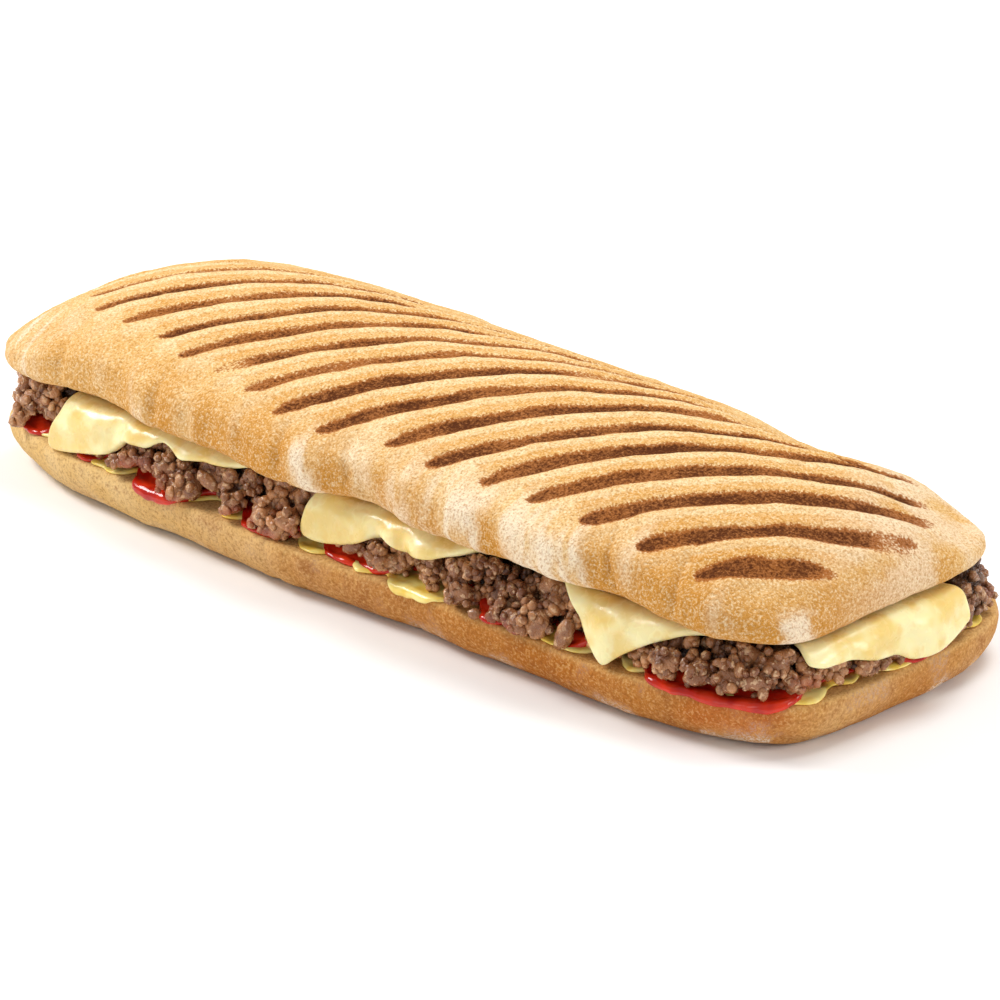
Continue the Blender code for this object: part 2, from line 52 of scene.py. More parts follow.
# Breads, as in the CAD
BASE_CENTRE, BASE_HALF = (0.2, 0.0), (129.4, 49.5)
BASE_TOP, BASE_FLARE, BASE_WIDEST, BASE_RIM = 12.1, 8.5, 10.0, 0.8
TOP_CENTRE = (0.9, -6.8)
TOP_HALF_X, TOP_HALF_FRONT, TOP_HALF_BACK = 127.1, 44.3, 48.0
TOP_UNDERSIDE, TOP_WIDEST, TOP_CROWN, TOP_TUCK = 24.7, 28.0, 49.8, 4.5
LOAF_POWER = 5.6
EDGE_PULL = 0.55
END_POWERS, FRONT_POWERS, BACK_POWERS = (3.83, 2.39), (1.5, 2.82), (1.54, 2.4)
TOP_FRONT_WAVES = ((-82, -2.6, 24), (-18, 1.6, 22), (10, -2.0, 16), (84, -2.4, 22), (109, 0.8, 12))
BASE_FRONT_WAVES = ((-110, -1.5, 18), (-16, 1.8, 20), (19, -1.2, 16), (78, 0.8, 22))
BACK_WAVES = ((-70, 1.4, 30), (-8, -1.8, 26), (62, 1.2, 34))
WAVE_LIFT = 0.35
# How far the filling holds up the top bread's edge: place along the side, height
RISE_FRONT = ((-127, 0.2), (-112, 1), (-100, 1.9), (-62, 3), (64, 3.4), (91, 2.2), (108, 1.7), (126, 0.3))
RISE_BACK = ((-127, 0.2), (-95, 1.4), (126, 1.4))
RISE_NEAR_END = ((-50, 0.3), (-36, 1.5), (50, 1.2))
RISE_NEAR_FROM, RISE_BACK_ASIDE, RISE_POWER = 100, (-30, -10), 10
# The back shoulder sags, most at one place, and so do the far end and the near back corner
SAG_BACK, SAG_PLACE, SAG_EXTRA, SAG_HALF = 1.2, 68.0, 2.4, 28.0
SAG_FAR, SAG_NEAR = 1.3, 2.2
SAG_BACK_ASIDE, SAG_FAR_ALONG, SAG_NEAR_ALONG, SAG_NEAR_ASIDE = (8, 32), (-91, -115), (98, 116), (0, 24)
SAG_RISE = 8
# The near end turns away from the front more than a plain squared outline
NEAR_TRIM, NEAR_TRIM_ASIDE, NEAR_TRIM_ALONG = 3.5, (8, 42), (92, 128)

# Press marks, far end first: start and end along the bar, half width, how dark
MARK_PITCH, MARK_FIRST, MARK_SLANT = 15.17, -108.9, math.radians(42.25)
MARK_WANDER, MARK_WANDER_FROM, MARK_WANDER_CYCLE, MARK_WANDER_LAST = 2.0, 5.6, 9.2, 10
MARK_NEAR_END, MARK_NEAR_SHIFT = 15, 1.8
MARK_DEPTH, MARK_BLUR, GROOVE_SHARE = 0.85, 2.2, 0.95
MARKS = (
    (-12, 26, 1.9, 0.75), (-23, 40, 1.9, 0.8), (-33, 46, 2.3, 0.95), (-37, 48, 2.1, 0.9),
    (-39, 49, 2.2, 1.0), (-44, 50, 2.2, 0.9), (-45, 50, 2.1, 0.85), (-48, 50, 2.1, 0.85),
    (-52, 50, 2.6, 1.0), (-53, 50, 2.7, 1.0), (-49, 50, 2.6, 1.0), (-51, 50, 2.5, 1.0),
    (-50, 49, 2.6, 1.0), (-50.5, 44.5, 2.6, 1.0), (-50, 31, 2.9, 1.0), (-50, 13.5, 2.9, 1.0),
    (-49, -17.5, 3.2, 1.1),
)
# From where along it a near mark bends towards the far end, and how the others bend back
MARK_BENDS, MARK_BEND = {12: 20, 13: 16, 14: 4, 15: -10}, 0.0085
MARK_FAR_BEND, MARK_FAR_BEND_FROM = 0.004, 8
# A mark's round ends, and how far the last one's taper as a share of its half length
MARK_TIP, MARK_LAST_TIP = 4, 0.35
# Stretches where a mark is faint: mark, from, to, how much of it is left
MARK_FADES = (
    (3, -33, -25, 0.85), (8, 12, 30, 0.45), (10, 16, 30, 0.6), (6, -45, -38, 0.5), (15, 2.5, 7.5, 0.45),
)
MARK_FADE_SOFT = 3
# Uneven marks, as layers of bumps: size in mm, seed and height
MARK_WOBBLE = ((11.0, 40, 0.45), (4.0, 70, 0.25))
MARK_WIDTHS, MARK_TONES = ((9.0, 5, 0.25),), ((8.0, 90, 0.22),)
NO_MARK = 99.0

# Stations along and across the breads, and rows down the top bread's side
TOP_STATIONS, BASE_STATIONS, TOP_SIDE_ROWS = (441, 181), (421, 171), 12
# Rings under the top bread: share of its outline, and how much of the edge's rise is left
TOP_INNER_RINGS = ((0.97, 1.0), (0.8, 0.0))
# The lower bread's profile below and above its round flank: inset and height
BASE_UNDER = ((BASE_FLARE + 14, 0.0), (BASE_FLARE + 1.5, 0.0))
BASE_UPPER = (
    (0.12, 10.8), (0.35, 11.5), (BASE_RIM + 0.1, 11.95), (BASE_RIM + 1.0, BASE_TOP),
    (BASE_RIM + 3.0, BASE_TOP), (BASE_RIM + 6.0, BASE_TOP), (20.0, BASE_TOP),
)
# Crust relief: size of its bumps along X, Y and Z, and their height
PILLOW, PILLOW_HEIGHT = (24.0, 90.0, 60.0), 1.1
FOLD, FOLD_HEIGHT = (8.0, 60.0, 30.0), 0.8
WRINKLE, WRINKLE_HEIGHT = (2.6, 30.0, 12.0), 0.3
CREASE, CREASE_DEPTH, CREASE_WIDTH = (16.0, 70.0, 50.0), 1.1, 0.09
THREAD = (1.3, 16.0, 8.0)
BASE_FOLD, BASE_FOLD_HEIGHT = (12.0, 60.0, 30.0), 0.5
BASE_CREASE, BASE_CREASE_DEPTH, BASE_CREASE_WIDTH = (25.0, 80.0, 44.0), 0.6, 0.06
# Layers of bumps on the crusts: size, seed and height
TOP_SWELL, TOP_GRAIN = ((15.0, 6, 0.35), (5.0, 7, 0.22)), ((1.4, 8, 0.05), (0.9, 9, 0.06))
DUST_SPOTS, BASE_SPOTS = ((9.0, 14, 1.0), (2.0, 15, 0.3)), ((7.0, 26, 1.0), (2.2, 27, 0.5))
DAB_EDGE, STAIN_EDGE = ((2.0, 16, 1.5),), ((5.0, 28, 3.0),)
# Beside a mark the crust is raised, then pale on one side and golden on the other: place and width
RIDGE_HEIGHT, RIDGE, PALE, GOLD = 0.3, (-4.2, 1.7), (-5.2, 2.6), (4.6, 2.4)
# Where looks begin and are full, along X, across Y or up Z
MARKED_UP, BELOW_CROWN, FRONT_ASIDE, NEAR_ALONG = (35.0, 39.0), (46, 36), (-22, -36), (92, 112)
FAR_ALONG, DUST_ASIDE, DUST_DOWN, LOW_DOWN = (-35, -85), (-34, 4), (47, 40), (40, 30)
DAB_PLACE, DAB_REACH, DAB_DOWN = (125.5, -34.5), (5.5, 2), (35, 31)
SMEAR_START, SMEAR_END, SMEAR_WIDTH = (-122.0, -41.0, 33.6), (-124.5, -36.0, 27.0), 0.7
BASE_BAKE_ALONG, BASE_NEAR_ALONG = (-80, 60), (104, 122)
STAIN_PLACE, STAIN_LONG, STAIN_REACH = (115, -44), 1.6, (11, 3)

# Filling, as in the CAD
FILL_CENTRE, FILL_HALF, FILL_POWER = (1.2, -1.0), (124.9, 42.5), 6.0
CHEESE_LEVEL, CHEESE_THICK, CHEESE_BEND, CHEESE_LEAN = 23.3, 1.9, 4.2, 0.12
MINCE_BOTTOM, MINCE_CORE_TOP = 14.9, 22.0


def ramp(low, high, value):
    """0 below the low limit and 1 beyond the high one, with a smooth step between."""
    t = np.clip((value - low) / (high - low), 0.0, 1.0)
    return t * t * (3 - 2 * t)


def bell(value, place, width):
    return np.exp(-((value - place) / width) ** 2)


def at_least(least, value):
    """A value from 0 to 1 raised to one from the least to 1."""
    return least + (1 - least) * value


# Large odd numbers that mix a cell's place and seed into a fixed random value
CELL_MIX, SEED_MIX, BIT_MIX, WORD = (374761393, 668265263, 1442695041), 974711, 1274126177, 0xFFFFFFFF


def cell_value(cell, seed):
    """A fixed random value from -1 to 1 for each whole-numbered cell."""
    n = sum(cell[:, axis] * mix for axis, mix in enumerate(CELL_MIX)) + seed * SEED_MIX
    n &= WORD
    n = ((n ^ (n >> 13)) * BIT_MIX) & WORD
    return ((n ^ (n >> 16)) & 0xFFFF) / 32767.5 - 1.0


def bumps(points, size, seed):
    """Smooth noise from -1 to 1, with bumps of about the given size in mm."""
    q = np.asarray(points, float) / np.asarray(size, float) + 31.7
    cell = np.floor(q).astype(np.int64)
    t = q - cell
    t = t * t * (3 - 2 * t)
    total = np.zeros(len(q))
    for corner in np.ndindex(2, 2, 2):
        weight = np.prod(np.where(np.array(corner) == 1, t, 1 - t), axis=1)
        total += weight * cell_value(cell + np.array(corner), seed)
    return total


def with_bumps(values, points, layers, seed_shift=0):
    """Values with layers of bumps added: size, seed and height of each."""
    for size, seed, height in layers:
        values = values + height * bumps(points, size, seed + seed_shift)
    return values


def aslant(points, share):
    """Points moved along by a share of their height, so that their bumps lean."""
    return points + share * points[:, 2:]


def window(x, centre, half_length):
    t = np.abs(x - centre) / half_length
    return np.where(t < 1, np.cos(np.minimum(t, 1) * np.pi / 2) ** 2, 0.0)


def wave(x, waves):
    return sum(out * window(x, centre, half_length) for centre, out, half_length in waves)


def squared_disc(u, v, power):
    largest = np.maximum(np.abs(u), np.abs(v))
    total = (np.abs(u) ** power + np.abs(v) ** power) ** (1 / power)
    share = np.where(largest > 0, largest / np.maximum(total, 1e-9), 0.0)
    return u * share, v * share


def towards_edges(t):
    return (1 - EDGE_PULL) * t + EDGE_PULL * np.sin(t * np.pi / 2)


def fall(share, powers):
    """1 in the middle, falling to 0 at the edge, with how full it is set by the two powers."""
    return (1 - share ** powers[0]) ** (1 / powers[1])


def dome_height(x, y):
    across = np.clip(np.abs(x - TOP_CENTRE[0]) / TOP_HALF_X, 0, 1)
    front = y < TOP_CENTRE[1]
    half = np.where(front, TOP_HALF_FRONT, TOP_HALF_BACK)
    half = half * np.maximum(fall(across, (LOAF_POWER, LOAF_POWER)), 1e-6)
    aside = np.clip(np.abs(y - TOP_CENTRE[1]) / half, 0, 1)
    fullness = np.where(front, fall(aside, FRONT_POWERS), fall(aside, BACK_POWERS))
    return TOP_WIDEST + (TOP_CROWN - TOP_WIDEST) * fullness * fall(across, END_POWERS)


def mark_line(index):
    line = MARK_FIRST + index * MARK_PITCH
    if index <= MARK_WANDER_LAST:
        line -= MARK_WANDER * math.sin(2 * math.pi * (index - MARK_WANDER_FROM) / MARK_WANDER_CYCLE)
    if index >= MARK_NEAR_END:
        line += MARK_NEAR_SHIFT
    return line


def mark_fields(x, y):
    """How much each point is charred and pressed, and how far it is beside the closest mark."""
    plan = np.stack([x, y, np.zeros_like(x)], axis=1)
    char, groove = np.zeros(len(x)), np.zeros(len(x))
    beside = np.full(len(x), NO_MARK)
    for index, (start, end, half_width, dark) in enumerate(MARKS):
        dx, dy = x - mark_line(index), y - TOP_CENTRE[1]
        along = dx * math.sin(MARK_SLANT) + dy * math.cos(MARK_SLANT)
        across = -dx * math.cos(MARK_SLANT) + dy * math.sin(MARK_SLANT)
        if index in MARK_BENDS:
            across = across - MARK_BEND * np.maximum(0, along - MARK_BENDS[index]) ** 2
        elif index < min(MARK_BENDS):
            across = across + MARK_FAR_BEND * np.maximum(0, along - MARK_FAR_BEND_FROM) ** 2
        across = with_bumps(across, plan, MARK_WOBBLE, index)
        middle, half = (start + end) / 2, (end - start) / 2
        tip = MARK_LAST_TIP if index == len(MARKS) - 1 else 0.0
        past = np.maximum(0, np.abs(along - middle) - half * (1 - tip) + MARK_TIP)
        inside = np.clip(1 - past / (MARK_TIP + half * tip), 0, 1)
        width = half_width * with_bumps(0.9, plan, MARK_WIDTHS, index) * np.sqrt(inside)
        keep = np.full(len(x), dark)
        for mark, low, high, left in MARK_FADES:
            if mark == index:
                fade = window(along, (low + high) / 2, (high - low) / 2 + MARK_FADE_SOFT)
                keep *= 1 - (1 - left) * fade
        keep *= with_bumps(0.86, plan, MARK_TONES, index)
        near = np.abs(across) < MARK_PITCH / 2
        core = ramp(0.0, 1.0, (width - np.abs(across)) / MARK_BLUR + 0.5) * keep * (inside > 0)
        char = np.maximum(char, np.where(near, core, 0))
        dip = np.exp(-(across / (half_width * GROOVE_SHARE)) ** 4) * np.sqrt(inside) * keep
        groove = np.maximum(groove, np.where(near, dip, 0))
        closer = np.abs(across) < np.abs(beside)
        beside = np.where(closer & (inside > 0), across, beside)
    return char, groove, beside


def to_metres(points):
    """Points in mm from the loaf's own axes, as places in the scene."""
    return (points + CENTRING) * MM


def add_object(name, data):
    thing = bpy.data.objects.new(name, data)
    bpy.context.scene.collection.objects.link(thing)
    return thing


def add_thing(name, points, faces):
    """A new object from points in mm and lists of faces."""
    mesh = bpy.data.meshes.new(name)
    mesh.from_pydata(to_metres(points).tolist(), [], faces)
    return add_object(name, mesh)


def make_mesh(name, points, faces, ngons=()):
    """A closed object from points in mm, a quad array and extra faces."""
    keys = np.round(points, 3)
    _, first, where = np.unique(keys, axis=0, return_index=True, return_inverse=True)
    where = where.reshape(-1)
    lists = [list(dict.fromkeys(q)) for q in where[faces].tolist()]
    lists = [q for q in lists if len(q) > 2] + [[int(where[i]) for i in g] for g in ngons]
    thing = add_thing(name, points[first], lists)
    mesh = thing.data
    mesh.update()
    bm = bmesh.new()
    bm.from_mesh(mesh)
    bmesh.ops.recalc_face_normals(bm, faces=bm.faces)
    bm.to_mesh(mesh)
    bm.free()
    mesh.shade_smooth()
    return thing


def read_skin(mesh):
    """A mesh's points in mm, and the skin's way out at each."""
    places, normals = np.empty(len(mesh.vertices) * 3), np.empty(len(mesh.vertices) * 3)
    mesh.vertices.foreach_get("co", places)
    mesh.vertex_normals.foreach_get("vector", normals)
    return places.reshape(-1, 3) / MM - CENTRING, normals.reshape(-1, 3)


def write_points(mesh, points):
    mesh.vertices.foreach_set("co", to_metres(points).reshape(-1))
    mesh.update()


def add_fields(mesh, **fields):
    """Numbers at each point, which the materials read by name."""
    for name, values in fields.items():
        layer = mesh.attributes.new(name, "FLOAT", "POINT")
        layer.data.foreach_set("value", np.asarray(values, np.float32))


def grid_quads(rows, columns, first=0):
    """Quads between neighbouring points of a grid kept row by row."""
    a = np.arange(rows - 1)[:, None] * columns + np.arange(columns - 1)[None, :] + first
    return np.stack([a, a + 1, a + columns + 1, a + columns], axis=-1).reshape(-1, 4)


def loop_quads(rows, columns, first=0):
    """Quads between closed rings of points kept ring by ring."""
    i = np.arange(columns)
    a = np.arange(rows - 1)[:, None] * columns
    j = (i + 1) % columns
    return np.stack([a + i, a + j, a + columns + j, a + columns + i], axis=-1).reshape(-1, 4) + first


def square_loop(us, vs):
    """The border of a grid of stations, once round."""
    top = [(u, -1.0) for u in us[:-1]] + [(1.0, v) for v in vs[:-1]]
    back = [(u, 1.0) for u in us[:0:-1]] + [(-1.0, v) for v in vs[:0:-1]]
    return np.array(top + back)


def edge_shift(x, v, front_waves, nearness):
    waves = np.where(v < 0, wave(x, front_waves), wave(x, BACK_WAVES))
    side = np.abs(v) ** 3 * nearness
    return waves * side * np.where(v < 0, -1, 1), waves * side


def edge_rise(x, y):
    """How far the top bread's edge is held up at this place."""
    front = np.interp(x, *zip(*RISE_FRONT))
    near = np.interp(y, *zip(*RISE_NEAR_END))
    rest = np.where(x > RISE_NEAR_FROM, near, np.interp(x, *zip(*RISE_BACK)))
    return front + (rest - front) * ramp(*RISE_BACK_ASIDE, y)


def near_trim(x, y):
    return NEAR_TRIM * ramp(*NEAR_TRIM_ASIDE, y) * ramp(*NEAR_TRIM_ALONG, x)


def top_point(u, v, under):
    """A place on the top bread: its plan station, and 0 on the crown to 1 at the underside."""
    nearness = np.maximum(np.abs(u), np.abs(v))
    plan_u, plan_v = squared_disc(u, v, LOAF_POWER)
    turn = under * np.pi / 2
    tuck = TOP_TUCK * (1 - np.cos(turn)) * nearness
    half_y = np.where(plan_v < 0, TOP_HALF_FRONT, TOP_HALF_BACK)
    x = TOP_CENTRE[0] + plan_u * (TOP_HALF_X - tuck)
    y = TOP_CENTRE[1] + plan_v * (half_y - tuck)
    flank = TOP_WIDEST - (TOP_WIDEST - TOP_UNDERSIDE) * np.sin(turn)
    z = np.where(under > 0, flank, dome_height(x, y))
    sag = ramp(*SAG_BACK_ASIDE, y) * (SAG_BACK + SAG_EXTRA * window(x, SAG_PLACE, SAG_HALF))
    sag = sag + SAG_FAR * ramp(*SAG_FAR_ALONG, x)
    sag = sag + SAG_NEAR * ramp(*SAG_NEAR_ALONG, x) * ramp(*SAG_NEAR_ASIDE, y)
    z = z - sag * ramp(TOP_WIDEST, TOP_WIDEST + SAG_RISE, z)
    shift, out = edge_shift(x, v, TOP_FRONT_WAVES, nearness ** 6)
    lift = np.where(under < 1, -out * WAVE_LIFT, 0.0) + edge_rise(x, y) * nearness ** RISE_POWER
    return np.stack([x, y + shift, z + lift], axis=1)


def on_segment(p, start, end, width):
    """1 on a line between two places, falling to 0 at its width."""
    start, way = np.array(start), np.array(end) - np.array(start)
    share = np.clip((p - start) @ way / (way @ way), 0, 1)
    return ramp(width, 0.4 * width, np.linalg.norm(p - start - share[:, None] * way, axis=1))


def top_crust_mesh():
    us, vs = (towards_edges(np.linspace(-1, 1, count)) for count in TOP_STATIONS)
    u, v = np.meshgrid(us, vs)
    crown = top_point(u.ravel(), v.ravel(), np.zeros(u.size))
    border = square_loop(us, vs)
    down = np.linspace(0, 1, TOP_SIDE_ROWS)
    rings = [top_point(border[:, 0], border[:, 1], np.full(len(border), t)) for t in down]
    edge, centre = rings[-1], np.array(TOP_CENTRE)
    for share, held in TOP_INNER_RINGS:
        plan = centre + (edge[:, :2] - centre) * share
        rings.append(np.column_stack([plan, TOP_UNDERSIDE + (edge[:, 2] - TOP_UNDERSIDE) * held]))
    points = np.concatenate([crown, *rings])
    faces = [grid_quads(len(vs), len(us)), loop_quads(len(rings), len(border), len(crown))]
    cap = list(range(len(points) - len(border), len(points)))
    return make_mesh("top_crust", points, np.concatenate(faces), [cap])


def make_top_crust():
    thing = top_crust_mesh()
    mesh = thing.data
    p, n = read_skin(mesh)
    x, y, z = p.T
    char, groove, beside = mark_fields(x, y)
    shown, high = ramp(TOP_UNDERSIDE, TOP_WIDEST, z), ramp(*MARKED_UP, z)
    char, groove = char * high, groove * high
    front = ramp(*FRONT_ASIDE, y) * ramp(*BELOW_CROWN, z)
    near_end = ramp(*NEAR_ALONG, x + 0.25 * y) * ramp(*BELOW_CROWN, z)
    far_part = ramp(*FAR_ALONG, x)
    pillows, folds = bumps(p, PILLOW, 2), bumps(aslant(p, 0.3), FOLD, 3)
    wrinkles, threads = bumps(aslant(p, 0.4), WRINKLE, 5), bumps(aslant(p, 0.4), THREAD, 18)
    relief = PILLOW_HEIGHT * pillows + FOLD_HEIGHT * folds + WRINKLE_HEIGHT * wrinkles
    relief = relief - CREASE_DEPTH * bell(bumps(aslant(p, 0.3), CREASE, 4), 0, CREASE_WIDTH)
    relief = relief * at_least(0.35, ramp(TOP_WIDEST + 1, TOP_WIDEST + 6, z))
    swell, grain = with_bumps(0, p, TOP_SWELL), with_bumps(0, p, TOP_GRAIN)
    ridge = RIDGE_HEIGHT * bell(beside, *RIDGE) * high
    height = shown * (front * relief * (1 - 0.6 * near_end) + swell + ridge + grain) - MARK_DEPTH * groove
    write_points(mesh, p + n * height[:, None])
    # The front's flour lies on the lit tops of the pillows and folds: real flour, and a painted highlight
    # on the relief.
    lit = ramp(-0.3, 0.6, 0.6 * pillows + 0.8 * folds + 0.35 * bumps(p, 6.0, 12))
    streaks = ramp(-0.25, 0.35, wrinkles + 0.5 * threads + 0.4 * folds)
    patches = ramp(-0.5, 0.35, bumps(p, 30.0, 13) + 0.4 + 0.3 * far_part)
    flour = front * lit * at_least(0.15, streaks) * patches
    dust = ramp(*NEAR_ALONG, x + 0.4 * y) * ramp(*DUST_DOWN, z)
    dust = dust * ramp(*DUST_ASIDE, y) * ramp(-0.5, 0.4, with_bumps(0, p, DUST_SPOTS))
    corner = with_bumps(np.hypot(x - DAB_PLACE[0], y - DAB_PLACE[1]), p, DAB_EDGE)
    dab = ramp(*DAB_REACH, corner) * ramp(*DAB_DOWN, z)
    low = ramp(*LOW_DOWN, z)
    # Darker baked colour low on the near end, and on the front between the lit pillows and lower down:
    # partly real baking, partly painted shade.
    bake_and_shade = near_end * at_least(0.35, low) * ramp(30, -10, y)
    bake_and_shade = bake_and_shade + front * (0.8 * (1 - lit) + 0.4 * low) * (1 - near_end) * (1 - 0.6 * far_part)
    smear = on_segment(p, SMEAR_START, SMEAR_END, SMEAR_WIDTH) * ramp(-0.7, 0.2, bumps(p, 1.2, 17))
    flour = np.clip(flour * (1 - near_end) + 0.55 * dust + 0.9 * dab, 0, 1)
    add_fields(mesh, char=char, pale=bell(beside, *PALE) * high, gold=bell(beside, *GOLD) * high,
               flour=flour, smear=smear, bake=np.clip(bake_and_shade, 0, 1))
    return thing


def make_base_crust():
    us, vs = (towards_edges(np.linspace(-1, 1, count)) for count in BASE_STATIONS)
    border = square_loop(us, vs)
    turns = np.linspace(0, np.pi / 2, 17)
    flank = [(BASE_FLARE * (1 - math.sin(t)), BASE_WIDEST * (1 - math.cos(t))) for t in turns]
    rows = [*BASE_UNDER, *flank, *BASE_UPPER]
    plan_u, plan_v = squared_disc(border[:, 0], border[:, 1], LOAF_POWER)
    rings = []
    for inset, level in rows:
        x = BASE_CENTRE[0] + plan_u * (BASE_HALF[0] - inset)
        y = BASE_CENTRE[1] + plan_v * (BASE_HALF[1] - inset)
        shift, _ = edge_shift(x, border[:, 1], BASE_FRONT_WAVES, 1.0)
        rings.append(np.stack([x - near_trim(x, y), y + shift, np.full(len(x), level)], axis=1))
    points = np.concatenate(rings)
    count = len(border)
    caps = [list(range(count)), list(range(len(points) - count, len(points)))]
    thing = make_mesh("base_crust", points, loop_quads(len(rows), count), caps)
    mesh = thing.data
    p, n = read_skin(mesh)
    x, y, z = p.T
    side = ramp(0.0, 1.2, z) * ramp(BASE_TOP, BASE_TOP - 0.6, z)
    creases = bell(bumps(p, BASE_CREASE, 22), 0, BASE_CREASE_WIDTH)
    relief = BASE_FOLD_HEIGHT * bumps(p, BASE_FOLD, 21) - BASE_CREASE_DEPTH * creases
    height = side * (relief + 0.15 * bumps(p, 4.0, 23))
    height += at_least(0.3, side) * (0.06 * bumps(p, 1.4, 24))
    write_points(mesh, p + n * height[:, None])
    along = ramp(*BASE_BAKE_ALONG, x)
    near_end = ramp(*BASE_NEAR_ALONG, x + 0.3 * (y + 45))
    spots = ramp(0.1, 0.6, with_bumps(0, p, BASE_SPOTS))
    bake = 0.12 + 0.88 * along * (1 - 0.3 * near_end) + 0.2 * bumps(p, 15.0, 25)
    low = ramp(6.0, 1.5, z)
    corner = np.hypot((x - STAIN_PLACE[0]) / STAIN_LONG, y - STAIN_PLACE[1])
    corner = with_bumps(corner, p, STAIN_EDGE)
    add_fields(mesh, bake=np.clip(bake, 0, 1),
               flour=side * spots * at_least(0.2, low) * (0.3 + 0.5 * along + 0.5 * near_end),
               rim=ramp(10.2, 11.8, z),
               stain=ramp(*STAIN_REACH, corner) * ramp(2.0, 7.0, z))
    return thing


def outside_filling(x, y):
    """Distance outside the filling's outline, and the way out."""
    across, aside = (x - FILL_CENTRE[0]) / FILL_HALF[0], (y - FILL_CENTRE[1]) / FILL_HALF[1]
    total = np.abs(across) ** FILL_POWER + np.abs(aside) ** FILL_POWER
    level = np.maximum(total, 1e-12) ** (1 / FILL_POWER)
    slope_x = np.sign(across) * np.abs(across / level) ** (FILL_POWER - 1) / FILL_HALF[0]
    slope_y = np.sign(aside) * np.abs(aside / level) ** (FILL_POWER - 1) / FILL_HALF[1]
    length = np.hypot(slope_x, slope_y)
    return (level - 1) / length, slope_x / length, slope_y / length


def outline_table(count, fine=7200):
    """Evenly spaced places round the filling's outline."""
    angle = np.linspace(0, 2 * np.pi, fine, endpoint=False)
    reach = np.maximum(np.abs(np.cos(angle)), np.abs(np.sin(angle)))
    u, v = squared_disc(np.cos(angle) / reach, np.sin(angle) / reach, FILL_POWER)
    pts = np.stack([FILL_CENTRE[0] + u * FILL_HALF[0], FILL_CENTRE[1] + v * FILL_HALF[1]], axis=1)
    steps = np.linalg.norm(np.roll(pts, -1, axis=0) - pts, axis=1)
    walked = np.concatenate([[0], np.cumsum(steps)[:-1]])
    wanted = np.linspace(0, steps.sum(), count, endpoint=False)
    return pts[np.searchsorted(walked, wanted, side="right") - 1]


EDGE_TABLE = outline_table(5000)

# Cheese: corner, angle of the hanging edge and of the way in, width, depth, how far the two
# hanging corners are pulled along the edge, and how far the edge is drawn in, by place along it
SLICES = (
    ("cheese_slice_1", (-91.4, -57.3), 10.5, 100.5, 74, 84, (-8.2, -3),
     ((0, 0), (8, -0.3), (15, 0.2), (18, 1.2), (21.8, 3.5), (28.5, 2.3), (33.7, 4.2), (40.5, 0.5),
      (47.6, 0.4), (54.7, -0.5), (62, 0.5), (69, 2.7), (76, 5))),
    ("cheese_slice_2", (-6.7, -56.5), 10.5, 100.5, 68, 84, (-5.8, 0),
     ((0, 0), (6.3, -0.7), (10.6, -0.3), (14, 1), (17.4, 2.1), (20.7, 2.4), (27, -0.2),
      (36.8, -0.4), (44.5, 1), (53, 4.9))),
    ("cheese_slice_3", (83.1, -58.4), 37.5, 140, 36, 32, (-1, 0),
     ((0, 0), (7, 0.5), (13, 0.2), (20, -0.5), (36, 0))),
    ("cheese_slice_4", (128.4, -32.5), 74, 164, 44, 25, (-1, 4.5),
     ((0, 0), (4, -1), (8.3, -1.4), (14, -1), (19.9, -1.8), (26.6, -0.8), (30.8, -1.6),
      (35, -0.8), (39, 2.2), (44, 7))),
)
CHEESE_HELD, CHEESE_STEPS, CHEESE_CORNERS, CHEESE_ROUND = 0.85, (0.8, 0.9), 22, CHEESE_THICK * 0.55
PULL_REACH, HEM_REACH, HEM_SOFT, SLICES_APART = 15.0, 26, 1.3, 60.0
# The melted slices' hems, folds, dents and thickness, as layers of bumps
HEM_BUMPS = (((3.5, 900.0, 9.0), 30, 0.25),)
SWING_BUMPS = (((8.0, 14.0, 9.0), 31, 1.6), ((4.5, 5.0, 9.0), 32, 0.9))
DENT_BUMPS, SWELL_BUMPS = ((6.0, 33, 0.7),), ((6.0, 34, 0.25),)


def round_bend(out, radius):
    """How far a layer still gets outwards on a round edge, how far it drops, and how far it hangs."""
    turn = np.clip(out / radius, 0, np.pi / 2)
    return radius * np.sin(turn), radius * (1 - np.cos(turn)), np.maximum(0, out - radius * np.pi / 2)


def drape(x, y):
    """Lays flat points over the filling's edge, so that they hang beyond a round bend."""
    out, way_x, way_y = outside_filling(x, y)
    reach, drop, hang = round_bend(out, CHEESE_BEND)
    back = np.where(out > 0, out - reach - CHEESE_LEAN * hang, 0)
    level = CHEESE_LEVEL + CHEESE_HELD * edge_rise(x, y) * ramp(-20, 0, out)
    return np.stack([x - way_x * back, y - way_y * back, level - drop - hang], axis=1)


def edge_dense(count, size, fine):
    """Stations from 0 to size that crowd at both ends, for a rounded edge."""
    near = fine * (1 - np.cos(np.linspace(0, np.pi / 2, 7)[:-1]))
    return np.concatenate([near, np.linspace(fine, size - fine, count), size - near[::-1]])


def soft_curve(x, knots, spread):
    """A smooth curve through the given places, its corners rounded over the given spread."""
    places, values = zip(*knots)
    steps = np.linspace(-1.5, 1.5, 13) * spread
    weights = np.exp(-(steps / spread) ** 2)
    return sum(w * np.interp(x + d, places, values) for d, w in zip(steps, weights)) / weights.sum()


def sheet(name, grid, half, looped=False):
    """A closed skin round a layer: its middle surface as a grid, and half its thickness."""
    rows, columns = grid.shape[:2]
    if looped:
        wide = np.concatenate([grid[:, -1:], grid, grid[:, :1]], axis=1)
        du = np.gradient(wide, axis=1)[:, 1:-1]
    else:
        du = np.gradient(grid, axis=1)
    normal = np.cross(du, np.gradient(grid, axis=0))
    normal /= np.maximum(np.linalg.norm(normal, axis=2, keepdims=True), 1e-9)
    upper, lower = grid + normal * half[..., None], grid - normal * half[..., None]
    points = np.concatenate([upper.reshape(-1, 3), lower.reshape(-1, 3)])
    quads = loop_quads(rows, columns) if looped else grid_quads(rows, columns)
    return make_mesh(name, points, np.concatenate([quads, quads[:, ::-1] + rows * columns]))


